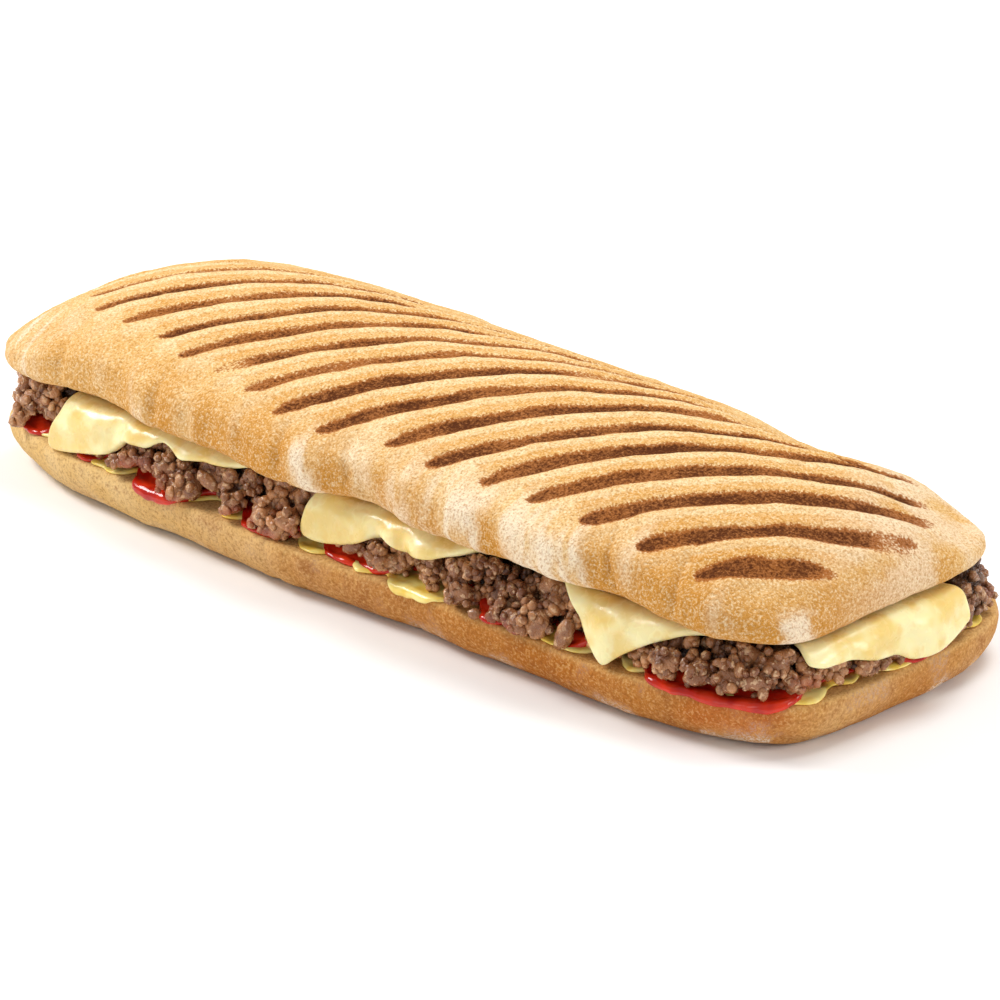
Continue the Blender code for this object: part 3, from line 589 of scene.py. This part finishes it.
def rounded(rim, radius):
    return np.sqrt(np.clip(1 - (1 - np.clip(rim / radius, 0, 1)) ** 2, 0, 1))


def make_cheese(number, corner, edge_angle, in_angle, width, depth, pulls, drawn_in):
    angles = (math.radians(angle) for angle in (edge_angle, in_angle))
    along, inwards = (np.array([math.cos(angle), math.sin(angle)]) for angle in angles)
    ps = edge_dense(int(width / CHEESE_STEPS[0]), width, CHEESE_ROUND)
    qs = edge_dense(int(depth / CHEESE_STEPS[1]), depth, CHEESE_ROUND)
    p, q = (a.ravel() for a in np.meshgrid(ps, qs))
    round_p, round_q = squared_disc(2 * p / width - 1, 2 * q / depth - 1, CHEESE_CORNERS)
    p_flat, q_flat = (round_p + 1) / 2 * width, (round_q + 1) / 2 * depth
    plan = np.stack([p_flat, q_flat, np.full(len(p), number * SLICES_APART)], axis=1)
    hem = with_bumps(soft_curve(p_flat, drawn_in, HEM_SOFT), plan, HEM_BUMPS)
    q_flat = q_flat + hem * ramp(HEM_REACH, 0, q)
    first = ramp(PULL_REACH, 0, np.hypot(p, q))
    second = ramp(PULL_REACH, 0, np.hypot(width - p, q))
    p_flat = p_flat + pulls[0] * first + pulls[1] * second
    flat = np.array(corner) + p_flat[:, None] * along + q_flat[:, None] * inwards
    mid = drape(flat[:, 0], flat[:, 1])
    out, way_x, way_y = outside_filling(flat[:, 0], flat[:, 1])
    loose = ramp(0.5, 7, out)
    swing = loose * with_bumps(0, plan, SWING_BUMPS)
    dent = with_bumps(0, plan, DENT_BUMPS) * ramp(-3, 3, out) * (1 - 0.6 * loose)
    mid += np.stack([way_x * swing, way_y * swing, dent], axis=1)
    rim = np.minimum.reduce([p, q, width - p, depth - q])
    half = CHEESE_THICK / 2 * with_bumps(1, plan, SWELL_BUMPS) * rounded(rim, CHEESE_ROUND)
    shape = (len(qs), len(ps))
    return sheet(f"cheese_{number}", mid.reshape(*shape, 3), half.reshape(shape))


def ball_points(fineness):
    bm = bmesh.new()
    bmesh.ops.create_icosphere(bm, subdivisions=fineness, radius=1.0)
    points = np.array([v.co[:] for v in bm.verts])
    faces = np.array([[v.index for v in f.verts] for f in bm.faces])
    bm.free()
    return points, faces


def fused(name, points, faces):
    """Melts overlapping lumps into one skin by a voxel remesh."""
    thing = add_thing(name, points, faces.tolist())
    remesh = thing.modifiers.new("melt", "REMESH")
    remesh.mode = "VOXEL"
    remesh.voxel_size = MELT_VOXEL * MM
    soften = thing.modifiers.new("soften", "SMOOTH")
    soften.iterations = 1
    soften.factor = 0.5
    bake_modifiers(thing)
    triangles = sum(len(f.vertices) - 2 for f in thing.data.polygons)
    if triangles > MINCE_TRIANGLES:
        thin = thing.modifiers.new("thin", "DECIMATE")
        thin.ratio = MINCE_TRIANGLES / triangles
        bake_modifiers(thing)
    thing.data.shade_smooth()
    return thing


def bake_modifiers(thing):
    graph = bpy.context.evaluated_depsgraph_get()
    mesh = bpy.data.meshes.new_from_object(thing.evaluated_get(graph))
    thing.modifiers.clear()
    thing.data = mesh


def core_band():
    """The outer part of the mince's inside as a closed band, in points and triangles."""
    edge = EDGE_TABLE[::25]
    way = np.stack(outside_filling(edge[:, 0], edge[:, 1])[1:], axis=1)
    (outer, inner), (low, high) = CORE_INSETS, (MINCE_BOTTOM - 0.3, MINCE_CORE_TOP)
    corners = ((outer, low), (outer, high), (inner, high), (inner, low))
    rings = [np.column_stack([edge - way * inset, np.full(len(edge), level)]) for inset, level in corners]
    quads = loop_quads(len(rings) + 1, len(edge)) % (len(rings) * len(edge))
    return np.concatenate(rings), np.concatenate([quads[:, [0, 1, 2]], quads[:, [0, 2, 3]]])


def skin_tree(things):
    bm = bmesh.new()
    for thing in things:
        bm.from_mesh(thing.data)
    tree = BVHTree.FromBMesh(bm)
    bm.free()
    return tree


# Beef that leans out over the rim: centre and radius of each clump
SPILLED = (
    (-74, -47.6, 15.6, 3.2), (-69.5, -46.4, 17.6, 3.6), (-54, -48.8, 14.4, 3.8),
    (-57.5, -46.6, 18.2, 4.2), (-50, -46.4, 16.6, 4), (-36, -47, 16.6, 3.8),
    (-25, -47.4, 16.6, 4.2), (-20.5, -48.6, 14.2, 3.6), (-16, -47.6, 17.4, 4),
    (13, -47.2, 17.8, 3.8), (36, -46, 20, 3.8), (38.2, -48.2, 15.4, 3.6), (51, -47.6, 15.8, 3.8),
    (56, -48.8, 14.6, 3.8), (61.5, -47.8, 16.2, 4.2), (66, -46.5, 18.6, 4), (98, -45.4, 17.4, 3.8),
    (106, -44, 17, 4.2), (113, -42.6, 17.8, 4), (119, -40.2, 17.2, 3.8),
    (126.2, 18, 17.6, 3.6), (126, 12, 16.6, 3.4), (-124, -12, 17, 4),
    (-121.5, -28, 16.4, 4), (-115, -37, 17, 4.2), (-117.6, -40.2, 14.9, 3.2),
    (-120.4, -34.4, 15.2, 3.2), (-113, -43, 14.9, 3),
)
# Single strands and crumbs: centre, half sizes and turns
STRANDS = (
    ((70, -48.2, 15.6), (2.1, 1.9, 5), (0.15, 0.5, 0)),
    ((43.5, -49, 13), (1.7, 1.4, 1.3), (0, 0, 0.3)),
    ((-44, -46.8, 19), (3.4, 1.7, 1.7), (0, 0.5, 0.2)),
    ((3, -46.6, 16.4), (3.2, 1.8, 1.6), (0, -0.4, 0.1)),
)
BEEF_SETBACKS = ((108, 2.8, 18), (4, 2, 14))
# Longest half sizes from which a grain gets a finer skin
LARGE_GRAIN, LARGE_STRAND = 1.68, 2.6
MELT_VOXEL, MINCE_TRIANGLES, CORE_INSETS = 0.6, 176000, (2.2, 9.0)
# Clumps: radius, height, place outside the outline, and how far apart as a share of their radii
CLUMP_TRIES, CLUMP_BALLS, CLUMP_LEAST, CLUMP_APART, CLUMP_CELL = 9000, 3, 1.5, 0.66, 8
CLUMP_RADIUS, CLUMP_LEVEL, CLUMP_OUT = (2.2, 4.2), (15.4, 24.6), (-3.4, 2.8)
CHEESE_GAP, CHEESE_SEARCH = 0.15, 9.0
GRAIN_SIZE, GRAIN_LOWEST, GRAINS_LEAST, GRAINS_PER_MM = (0.8, 1.4), 12.9, 4, 4.6
# Layers of bumps on the mince: its relief, browning and sauce stains
MINCE_RELIEF = ((2.6, 41, 0.6), (1.4, 42, 0.35))
BROWN_SPOTS, SAUCE_SPOTS = ((6.0, 43, 1.0), (2.0, 44, 0.5)), ((9.0, 45, 1.0), (3.0, 46, 0.4))


def way_out(place):
    """The level way out of the filling at one place."""
    _, way_x, way_y = outside_filling(place[:1], place[1:2])
    return way_x[0], way_y[0]


def clear_radius(tree, centre, radius):
    """The radius that a clump in mm may have beside the cheese, or 0 outside of it."""
    place = Vector(to_metres(centre))
    _, _, _, distance = tree.find_nearest(place)
    inwards = -Vector((*way_out(centre), 0.0))
    if tree.ray_cast(place, inwards, CHEESE_SEARCH * MM)[0] is not None:
        return 0.0
    return min(radius, distance / MM - CHEESE_GAP)


def beef_clumps(tree, draw):
    """Clumps of mince spread round the filling's side, clear of the cheese."""
    clumps, grid = [], {}

    def place_clump(centre, radius):
        radius = clear_radius(tree, centre, radius)
        if radius < CLUMP_LEAST:
            return
        key = np.floor(centre / CLUMP_CELL).astype(int)
        near = [c for step in np.ndindex(3, 3, 3) for c in grid.get(tuple(key + step - 1), ())]
        if all(np.linalg.norm(centre - other) > CLUMP_APART * (radius + size) for other, size in near):
            grid.setdefault(tuple(key), []).append((centre, radius))
            clumps.append((centre, radius))

    for *centre, radius in SPILLED:
        place_clump(np.array(centre), radius)
    for _ in range(CLUMP_TRIES):
        edge = EDGE_TABLE[draw.randrange(len(EDGE_TABLE))]
        held = float(edge_rise(*edge))
        setback = float(wave(edge[0], BEEF_SETBACKS)) if edge[1] < 0 else 0.0
        height = draw.uniform(CLUMP_LEVEL[0], CLUMP_LEVEL[1] + 0.8 * held)
        radius = draw.uniform(*CLUMP_RADIUS)
        out = draw.uniform(*CLUMP_OUT) - setback - 1.6 * ramp(21.5, 25.5, height)
        centre = np.array([*(edge + np.array(way_out(edge)) * out), height])
        centre[0] -= near_trim(*centre[:2]) + near_back_lean(*centre)
        if height + 0.85 * radius < TOP_UNDERSIDE + held:
            place_clump(centre, radius)
    return clumps


def near_back_lean(x, y, z):
    """How far the heap leans back from the near end, more for higher places."""
    return max(0.0, z - 14.0) * 0.75 * ramp(12, 28, y) * ramp(100, 120, x)


def random_way(draw):
    way = np.array([draw.gauss(0, 1) for _ in range(3)])
    return way / np.linalg.norm(way)


def uneven_ball(unit, centre, sizes, turn, draw):
    jitter = np.array([draw.uniform(0.9, 1.1) for _ in range(len(unit))])[:, None]
    return np.array(centre) + (unit * jitter * np.array(sizes)) @ np.array(Euler(turn).to_matrix()).T


def gathered(lumps):
    """One list of points and one of faces from lumps that have their own."""
    starts = np.cumsum([0] + [len(points) for points, _ in lumps])
    faces = [faces + start for (_, faces), start in zip(lumps, starts)]
    return np.concatenate([points for points, _ in lumps]), np.concatenate(faces)


def beef_grains(clumps, tree, draw):
    """Small rounded grains on the outward side of each clump."""
    grains = []
    for centre, radius in clumps:
        outwards = np.array([*way_out(centre), 0.15])
        for _ in range(int(GRAINS_LEAST + radius * GRAINS_PER_MM)):
            way = random_way(draw)
            if way @ outwards < -0.35:
                continue
            size = draw.uniform(*GRAIN_SIZE)
            place = centre + way * (radius - 0.35 * size) * draw.uniform(0.82, 1.04)
            ceiling = TOP_UNDERSIDE + float(edge_rise(*place[:2])) - 0.5 * size
            if not GRAIN_LOWEST + 0.6 * size <= place[2] <= ceiling:
                continue
            if clear_radius(tree, place, size) < 0.75 * size:
                continue
            sizes = (size * draw.uniform(1.0, 1.45), size, size * draw.uniform(0.8, 1.0))
            grains.append((place, sizes, [draw.uniform(0, 2 * math.pi) for _ in range(3)]))
    return grains


def beef_core(clumps, draw):
    """The heap's clumps and a band inside them, melted into one skin."""
    unit, faces = ball_points(1)
    lumps = []
    for centre, radius in clumps:
        for _ in range(CLUMP_BALLS):
            middle = centre + random_way(draw) * radius * 0.3
            turn = (0, 0, draw.uniform(0, 6))
            lumps.append((uneven_ball(unit, middle, (radius * 0.74,) * 3, turn, draw), faces))
    core = fused("mince", *gathered(lumps + [core_band()]))
    mesh = core.data
    p, n = read_skin(mesh)
    out, _, _ = outside_filling(p[:, 0], p[:, 1])
    rough = with_bumps(0, p, MINCE_RELIEF) * ramp(-8, -5, out)
    write_points(mesh, p + n * rough[:, None])
    # Points lying below their neighbours on the heap get painted shade in the hollows.
    beef_fields(mesh, np.full(len(p), 0.4), ramp(0.0, 0.45, sunken(mesh, 14)))
    return core


def make_beef(cheeses):
    draw = random.Random(11)
    tree = skin_tree(cheeses)
    clumps = beef_clumps(tree, draw)
    core = beef_core(clumps, draw)
    balls = [ball_points(fineness) for fineness in (1, 2, 3)]
    lumps, tones = [], []
    for centre, sizes, turn in beef_grains(clumps, tree, draw) + list(STRANDS):
        unit, faces = balls[int(np.searchsorted((LARGE_GRAIN, LARGE_STRAND), max(sizes)))]
        lumps.append((uneven_ball(unit, centre, sizes, turn, draw), faces))
        tones += [draw.random()] * len(unit)
    points, faces = gathered(lumps)
    loose = add_thing("mince_grains", points, faces.tolist())
    mesh = loose.data
    mesh.shade_smooth()
    # Grains close to the heap's skin get painted shade where they sit against it.
    beef_fields(mesh, np.array(tones), ramp(0.55, -0.2, above_skin(core, read_skin(mesh)[0])))
    return core, loose


def sunken(mesh, rounds):
    """How far each point lies below its surroundings in mm, from the mesh's own edges."""
    pairs = np.empty(len(mesh.edges) * 2, np.int64)
    mesh.edges.foreach_get("vertices", pairs)
    ends = pairs.reshape(-1, 2)
    one, other = np.concatenate([ends[:, 0], ends[:, 1]]), np.concatenate([ends[:, 1], ends[:, 0]])
    p, n = read_skin(mesh)
    count = np.maximum(np.bincount(one, minlength=len(p)), 1)
    level = p
    for _ in range(rounds):
        sums = [np.bincount(one, level[other, axis], len(p)) for axis in range(3)]
        level = np.stack(sums, axis=1) / count[:, None]
    return ((level - p) * n).sum(axis=1)


def above_skin(thing, points):
    """Distance of points in mm outside the skin of another piece."""
    tree = skin_tree([thing])
    heights = []
    for place in to_metres(points):
        found, normal, _, _ = tree.find_nearest(Vector(place))
        heights.append((Vector(place) - found).dot(normal) / MM)
    return np.array(heights)


def beef_fields(mesh, tones, sunk):
    p, _ = read_skin(mesh)
    # Mince inward of the filling's outline, under the top bread, gets painted shade.
    out, _, _ = outside_filling(p[:, 0], p[:, 1])
    brown = ramp(-0.6, 0.7, with_bumps(0, p, BROWN_SPOTS))
    sauced = ramp(0.15, 0.6, with_bumps(0, p, SAUCE_SPOTS)) * ramp(21, 15, p[:, 2])
    add_fields(mesh, brown=np.clip(0.55 * brown + 0.45 * tones, 0, 1), sunk=sunk,
               deep=ramp(2.0, -2.0, out), sauced=sauced)


# Where sauce shows on the rim, by side: from and to along the side, and reach beyond the filling
MUSTARD = {
    "front": ((-112, -100, 3.6), (-86, -72, 5), (-56, -48, 5), (-41, -33, 5.2), (-16, -4, 5.6),
              (2, 12, 5.6), (14, 34, 6.9), (60, 76, 5.3), (84, 92, 4.8), (104, 128, 4)),
    "near": ((-44, -26, 4.4), (-20, -16, 3.2), (-10, 8, 2.8), (20, 32, 2)),
    "back": ((-70, -30, 4), (10, 44, 4.6), (84, 112, 4)),
    "far": ((-20, 10, 3),),
}
KETCHUP = {
    "front": ((-119, -103, 5.2), (-92, -82, 5), (-69, -50, 8.2), (-34, -18, 6.2), (-8, 14, 4.6),
              (42, 52, 6.4), (66, 74, 5.2), (91, 123, 6.8)),
    "near": ((-44, -34, 3.6), (-4, 14, 3.4)),
    "back": ((-64, -46, 5), (62, 84, 5.2), (-10, 4, 3.4)),
    "far": ((-40, -24, 5), (12, 22, 3)),
}
SAUCE_INSIDE, SAUCE_RETREAT, SAUCE_DROOP, RIM_INSET = 9.0, 1.2, 1.5, 1.2
SAUCE_ROWS, SAUCE_CROWDING, PATCH_RAMP = 26, 1.8, 4
SAUCE_LIP, LIP_BUMPS = (1.3, 1.1), ((4.5, 0, 0.5), (2.0, 1, 0.3))


def side_of(way_x, way_y):
    """Which side of the loaf an outward way points to."""
    ends = np.where(way_x > 0, "near", "far")
    return np.where(way_y < -0.45, "front", np.where(way_y > 0.45, "back", ends))


def sauce_reach(patches, edge, way_x, way_y):
    """How far the sauce comes out of the filling at each station of the outline."""
    side = side_of(way_x, way_y)
    along = np.where((side == "front") | (side == "back"), edge[:, 0], edge[:, 1])
    reach = np.full(len(edge), -SAUCE_RETREAT)
    for name, places in patches.items():
        for start, end, out in places:
            swell = ramp(start - PATCH_RAMP, start + PATCH_RAMP, along)
            swell = swell * ramp(end + PATCH_RAMP, end - PATCH_RAMP, along)
            patch = (out + SAUCE_RETREAT) * swell - SAUCE_RETREAT
            reach = np.where(side == name, np.maximum(reach, patch), reach)
    weights = bell(np.linspace(-2, 2, 13), 0, 1)
    wrapped = np.concatenate([reach[-6:], reach, reach[:6]])
    return np.convolve(wrapped, weights / weights.sum(), mode="valid")


def past_rim(x, y):
    """Distance beyond the bottom bread's upper rim."""
    half_x, half_y = BASE_HALF[0] - RIM_INSET, BASE_HALF[1] - RIM_INSET
    x = x + near_trim(x, y)
    waves = np.where(y < 0, wave(x, BASE_FRONT_WAVES), wave(x, BACK_WAVES))
    u, v = np.abs(x - BASE_CENTRE[0]) / half_x, np.abs(y - BASE_CENTRE[1]) / (half_y + waves)
    level = np.maximum(u ** LOAF_POWER + v ** LOAF_POWER, 1e-9) ** (1 / LOAF_POWER)
    power = LOAF_POWER - 1
    return (level - 1) / np.hypot((u / level) ** power / half_x, (v / level) ** power / half_y)


def make_sauce(name, level, thick, patches, seed):
    """A sauce at this height that shows at the patches and droops over the rim."""
    edge = EDGE_TABLE[::5]
    _, way_x, way_y = outside_filling(edge[:, 0], edge[:, 1])
    ring = np.column_stack([edge, np.full(len(edge), level)])
    reach = with_bumps(sauce_reach(patches, edge, way_x, way_y), ring, LIP_BUMPS, seed)
    shares = 1 - (1 - np.linspace(0, 1, SAUCE_ROWS)) ** SAUCE_CROWDING
    out = -SAUCE_INSIDE + (reach + SAUCE_INSIDE) * shares[:, None]
    x, y = edge[:, 0] + way_x * out, edge[:, 1] + way_y * out
    x = x - near_trim(x, y)
    over = past_rim(x, y) - 0.3
    reach_over, drop, hang = round_bend(over, SAUCE_DROOP)
    back = np.where(over > 0, over - reach_over, 0)
    plan = np.stack([x.ravel(), y.ravel(), np.full(x.size, seed * 9.0)], axis=1)
    lumpy = bumps(plan, 3.4, seed + 2).reshape(x.shape)
    lip = bell(reach - out, *SAUCE_LIP)
    half = thick / 2 * (0.85 + 0.25 * lumpy + 0.35 * lip) * rounded(reach - out, 1.0)
    bed = BASE_TOP + thick * 0.42
    z = level - (level - bed) * ramp(0.5, 3.0, out) + 0.2 * lumpy
    z = z - drop - hang
    grid = np.stack([x - way_x * back, y - way_y * back, z], axis=-1)
    inner = ramp(-SAUCE_INSIDE, -SAUCE_INSIDE + 1.5, out)
    return sheet(name, grid, half * inner, looped=True)


class Shader:
    """Short ways to add nodes to a material."""

    def __init__(self, name):
        self.material = bpy.data.materials.new(name)
        self.material.use_nodes = True
        self.tree = self.material.node_tree
        self.main = self.tree.nodes["Principled BSDF"]
        self.place = self.node("TexCoord", {}, "Object")

    def feed(self, value, target):
        if isinstance(value, bpy.types.NodeSocket):
            self.tree.links.new(value, target)
        else:
            target.default_value = (*value, 1.0) if isinstance(value, tuple) else value

    def node(self, kind, inputs, output=0, **settings):
        """Adds a node with these settings, feeds its inputs and gives one output."""
        node = self.tree.nodes.new("ShaderNode" + kind)
        for name, value in settings.items():
            setattr(node, name, value)
        for socket, value in inputs.items():
            self.feed(value, node.inputs[socket])
        return node.outputs[output]

    def noise(self, size, detail=2.0, rough=0.5):
        inputs = {"Vector": self.place, "Scale": 1 / (size * MM), "Detail": detail, "Roughness": rough}
        return self.node("TexNoise", inputs, "Fac")

    def field(self, name):
        return self.node("Attribute", {}, "Fac", attribute_name=name)

    def math(self, operation, first, second):
        return self.node("Math", {0: first, 1: second}, operation=operation)

    def step(self, value, low, high, to_low=0.0, to_high=1.0):
        inputs = {"Value": value, "From Min": low, "From Max": high, "To Min": to_low, "To Max": to_high}
        return self.node("MapRange", inputs, "Result", interpolation_type="SMOOTHSTEP")

    def mix(self, factor, first, second):
        return self.node("Mix", {0: factor, 6: first, 7: second}, 2, data_type="RGBA")

    def layered(self, colour, layers):
        """Lays colours over each other: mask, strength and colour of each."""
        for mask, strength, over in layers:
            colour = self.mix(self.math("MULTIPLY", mask, strength), colour, over)
        return colour

    def plus(self, first, second, share):
        return self.math("ADD", first, self.math("MULTIPLY", second, share))

    def bump(self, height, distance, strength=1.0):
        inputs = {"Strength": strength, "Distance": distance * MM, "Height": height}
        self.feed(self.node("Bump", inputs, "Normal"), self.main.inputs["Normal"])

    def finish(self, colour, roughness, **settings):
        self.feed(colour, self.main.inputs["Base Color"])
        self.feed(roughness, self.main.inputs["Roughness"])
        for name, value in settings.items():
            self.main.inputs[name.replace("_", " ")].default_value = value
        return self.material


def top_crust_material():
    s = Shader("top_crust")
    fine, sand, patch = s.noise(0.5, 2.0, 0.6), s.noise(0.85, 2.0, 0.6), s.noise(15.0, 3.0)
    golden = s.mix(s.step(patch, 0.35, 0.65), (0.72, 0.41, 0.13), (0.8, 0.52, 0.215))
    golden = s.layered(golden, (
        (s.field("gold"), 0.6, (0.67, 0.33, 0.08)),
        (s.field("pale"), 0.5, (0.87, 0.67, 0.39)),
        # On the top crust the bake layer is partly painted shade, and the flour layer partly a painted
        # highlight on the pillows.
        (s.field("bake"), 0.85, (0.57, 0.235, 0.025)),
        (s.field("flour"), 0.85, (0.93, 0.8, 0.62)),
        (s.step(sand, 0.5, 0.68), 0.34, (0.48, 0.21, 0.04)),
        (s.step(sand, 0.5, 0.34), 0.28, (0.95, 0.8, 0.52)),
        (s.step(fine, 0.53, 0.64), 0.5, (0.44, 0.18, 0.035)),
        (s.step(fine, 0.46, 0.35), 0.4, (0.98, 0.86, 0.6)),
        (s.field("smear"), 0.8, (0.62, 0.1, 0.02)),
    ))
    char = s.field("char")
    burnt = s.plus(char, s.math("SUBTRACT", sand, 0.5), 0.9)
    burnt = s.plus(burnt, s.math("SUBTRACT", fine, 0.5), 0.9)
    edge = s.math("MULTIPLY", s.step(burnt, 0.1, 0.55), s.step(char, 0.02, 0.14))
    core = s.math("MULTIPLY", s.step(burnt, 0.5, 1.05), s.step(char, 0.1, 0.4))
    colour = s.layered(golden, ((edge, 0.92, (0.36, 0.11, 0.022)), (core, 1.0, (0.092, 0.026, 0.008))))
    s.bump(s.plus(fine, sand, 1.4), 0.32)
    return s.finish(colour, s.step(fine, 0.3, 0.7, 0.6, 0.85), Specular_IOR_Level=0.04)


def base_crust_material():
    s = Shader("base_crust")
    fine, coarse, patch = s.noise(0.6, 2.0, 0.6), s.noise(1.0, 2.0), s.noise(12.0, 3.0)
    golden = s.mix(s.step(patch, 0.35, 0.65), (0.71, 0.46, 0.175), (0.78, 0.56, 0.27))
    colour = s.layered(golden, (
        (s.field("bake"), 0.95, (0.45, 0.14, 0.015)),
        (s.step(patch, 0.52, 0.68), 0.45, (0.3, 0.095, 0.02)),
        (s.step(coarse, 0.52, 0.68), 0.3, (0.27, 0.09, 0.018)),
        (s.step(coarse, 0.48, 0.34), 0.25, (0.82, 0.5, 0.17)),
        (s.field("rim"), 0.35, (0.74, 0.48, 0.18)),
        (s.field("stain"), 0.5, (0.5, 0.1, 0.012)),
        (s.step(fine, 0.53, 0.64), 0.4, (0.28, 0.09, 0.018)),
        (s.step(fine, 0.46, 0.35), 0.3, (0.86, 0.58, 0.26)),
        (s.math("MULTIPLY", s.field("flour"), s.step(fine, 0.42, 0.58)), 0.75, (0.88, 0.78, 0.64)),
    ))
    s.bump(s.plus(fine, coarse, 1.4), 0.22)
    return s.finish(colour, 0.7, Specular_IOR_Level=0.04)


def cheese_material():
    s = Shader("cheese")
    patch, small = s.noise(9.0), s.noise(3.0)
    colour = s.mix(s.step(patch, 0.38, 0.62), (0.82, 0.6, 0.2), (0.92, 0.8, 0.42))
    colour = s.layered(colour, ((s.step(small, 0.56, 0.68), 0.3, (0.74, 0.47, 0.1)),))
    s.bump(s.plus(patch, small, 0.35), 0.7, 0.7)
    return s.finish(colour, s.step(small, 0.3, 0.7, 0.2, 0.34), Specular_IOR_Level=0.5,
                    Subsurface_Weight=0.3, Subsurface_Scale=3 * MM, Subsurface_Radius=(1.0, 0.65, 0.2))


def beef_material():
    s = Shader("mince")
    fine, coarse, tiny = s.noise(1.3, 3.0, 0.6), s.noise(5.0, 2.0), s.noise(0.6, 2.0)
    colour = s.mix(s.field("brown"), (0.16, 0.046, 0.015), (0.62, 0.29, 0.118))
    colour = s.layered(colour, (
        # Pale specks on the fine noise: painted highlights on the lumps.
        (s.step(fine, 0.54, 0.64), 0.55, (0.86, 0.57, 0.32)),
        (s.step(coarse, 0.52, 0.64), 0.5, (0.13, 0.035, 0.013)),
        # Painted shade in the hollows of the heap and where grains sit against it.
        (s.field("sunk"), 0.85, (0.06, 0.016, 0.008)),
        (s.field("sauced"), 0.6, (0.33, 0.03, 0.008)),
        # Near-black painted shade on mince inward of the filling's outline, under the top bread.
        (s.field("deep"), 0.85, (0.025, 0.008, 0.005)),
    ))
    s.bump(s.plus(fine, tiny, 0.6), 0.45)
    return s.finish(colour, s.step(fine, 0.35, 0.7, 0.3, 0.1), Specular_IOR_Level=0.5)


def sauce_material(name, sizes, colours, relief, roughness, depth, weight):
    """A glossy sauce: sizes of its patches and ripples, its two colours, and how light goes in."""
    s = Shader(name)
    patch, ripple = (s.noise(size) for size in sizes)
    s.bump(ripple, relief, 0.5)
    return s.finish(s.mix(s.step(patch, 0.36, 0.64), *colours), roughness, Specular_IOR_Level=0.4,
                    Subsurface_Weight=weight, Subsurface_Scale=depth * MM)


def dress(thing, material, node):
    thing.data.materials.clear()
    thing.data.materials.append(material)
    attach(thing, "root")
    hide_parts(node)


def build_food():
    dress(make_top_crust(), top_crust_material(), "top_bread")
    dress(make_base_crust(), base_crust_material(), "bottom_bread")
    cheese = cheese_material()
    slices = []
    for number, (node, *sizes) in enumerate(SLICES):
        piece = make_cheese(number + 1, *sizes)
        dress(piece, cheese, node)
        slices.append(piece)
    mince = beef_material()
    for piece in make_beef(slices):
        dress(piece, mince, "minced_beef")
    mustard = make_sauce("mustard_spread", 12.9, 0.9, MUSTARD, 51)
    yellow = sauce_material("mustard", (5.0, 1.2), ((0.86, 0.58, 0.09), (0.95, 0.78, 0.27)),
                            relief=0.15, roughness=0.2, depth=2.0, weight=0.1)
    dress(mustard, yellow, "mustard")
    ketchup = make_sauce("ketchup_spread", 14.1, 1.3, KETCHUP, 61)
    red = sauce_material("ketchup", (6.0, 1.6), ((0.42, 0.01, 0.003), (0.66, 0.032, 0.006)),
                         relief=0.2, roughness=0.12, depth=1.5, weight=0.15)
    dress(ketchup, red, "ketchup")


# Camera, from a fit of the loaf's outline in the 1000 by 1000 photograph
CAMERA_AZIMUTH, CAMERA_ELEVATION = math.radians(44.45), math.radians(22.2)
CAMERA_DISTANCE = 1.3936
CAMERA_FOCAL_SHARE = 6.2225
CAMERA_TARGET = to_metres(np.array([21.88, -18.96, 25.0]))
# Studio lights: place and size in metres, and power
LIGHTS = (
    ("key", (-0.80, -0.35, 0.80), 0.4, 9.5),
    ("top", (0.15, 0.35, 1.10), 0.6, 7.0),
    ("right", (1.10, 0.35, 0.55), 0.4, 4.0),
    ("front", (0.25, -1.20, 0.50), 0.5, 1.5),
)
LIGHT_AIM = Vector((0.0, 0.0, 0.02))
FLOOR_HALF, FLOOR_GREY, WORLD_STRENGTH = 4.0, 0.96, 0.47


def set_camera():
    az, el = CAMERA_AZIMUTH, CAMERA_ELEVATION
    back = Vector((math.sin(az) * math.cos(el), -math.cos(az) * math.cos(el), math.sin(el)))
    right = Vector((math.cos(az), math.sin(az), 0.0))
    up = back.cross(right)
    data = bpy.data.cameras.new("camera")
    data.sensor_width = 36.0
    data.lens = data.sensor_width * CAMERA_FOCAL_SHARE
    data.clip_end = 20.0
    camera = add_object("camera", data)
    turn = Matrix((right, up, back)).transposed()
    place = Vector(CAMERA_TARGET) + back * CAMERA_DISTANCE
    camera.matrix_world = Matrix.Translation(place) @ turn.to_4x4()
    bpy.context.scene.camera = camera


def set_stage():
    mesh = bpy.data.meshes.new("floor")
    corners = [(x * FLOOR_HALF, y * FLOOR_HALF, 0) for x, y in ((-1, -1), (1, -1), (1, 1), (-1, 1))]
    mesh.from_pydata(corners, [], [(0, 1, 2, 3)])
    mesh.materials.append(Shader("floor").finish((FLOOR_GREY,) * 3, 0.9, Specular_IOR_Level=0.1))
    floor = add_object("floor", mesh)
    world = bpy.data.worlds.new("studio")
    world.use_nodes = True
    background = world.node_tree.nodes["Background"]
    background.inputs["Color"].default_value = (1.0, 1.0, 1.0, 1.0)
    background.inputs["Strength"].default_value = WORLD_STRENGTH
    bpy.context.scene.world = world
    for name, place, size, power in LIGHTS:
        data = bpy.data.lights.new(name, "AREA")
        data.size = size
        data.energy = power
        light = add_object(name, data)
        light.location = place
        aim = LIGHT_AIM - light.location
        light.rotation_euler = aim.to_track_quat("-Z", "Y").to_euler()
    bpy.context.scene.view_settings.view_transform = "Standard"


build_food()
set_camera()
set_stage()
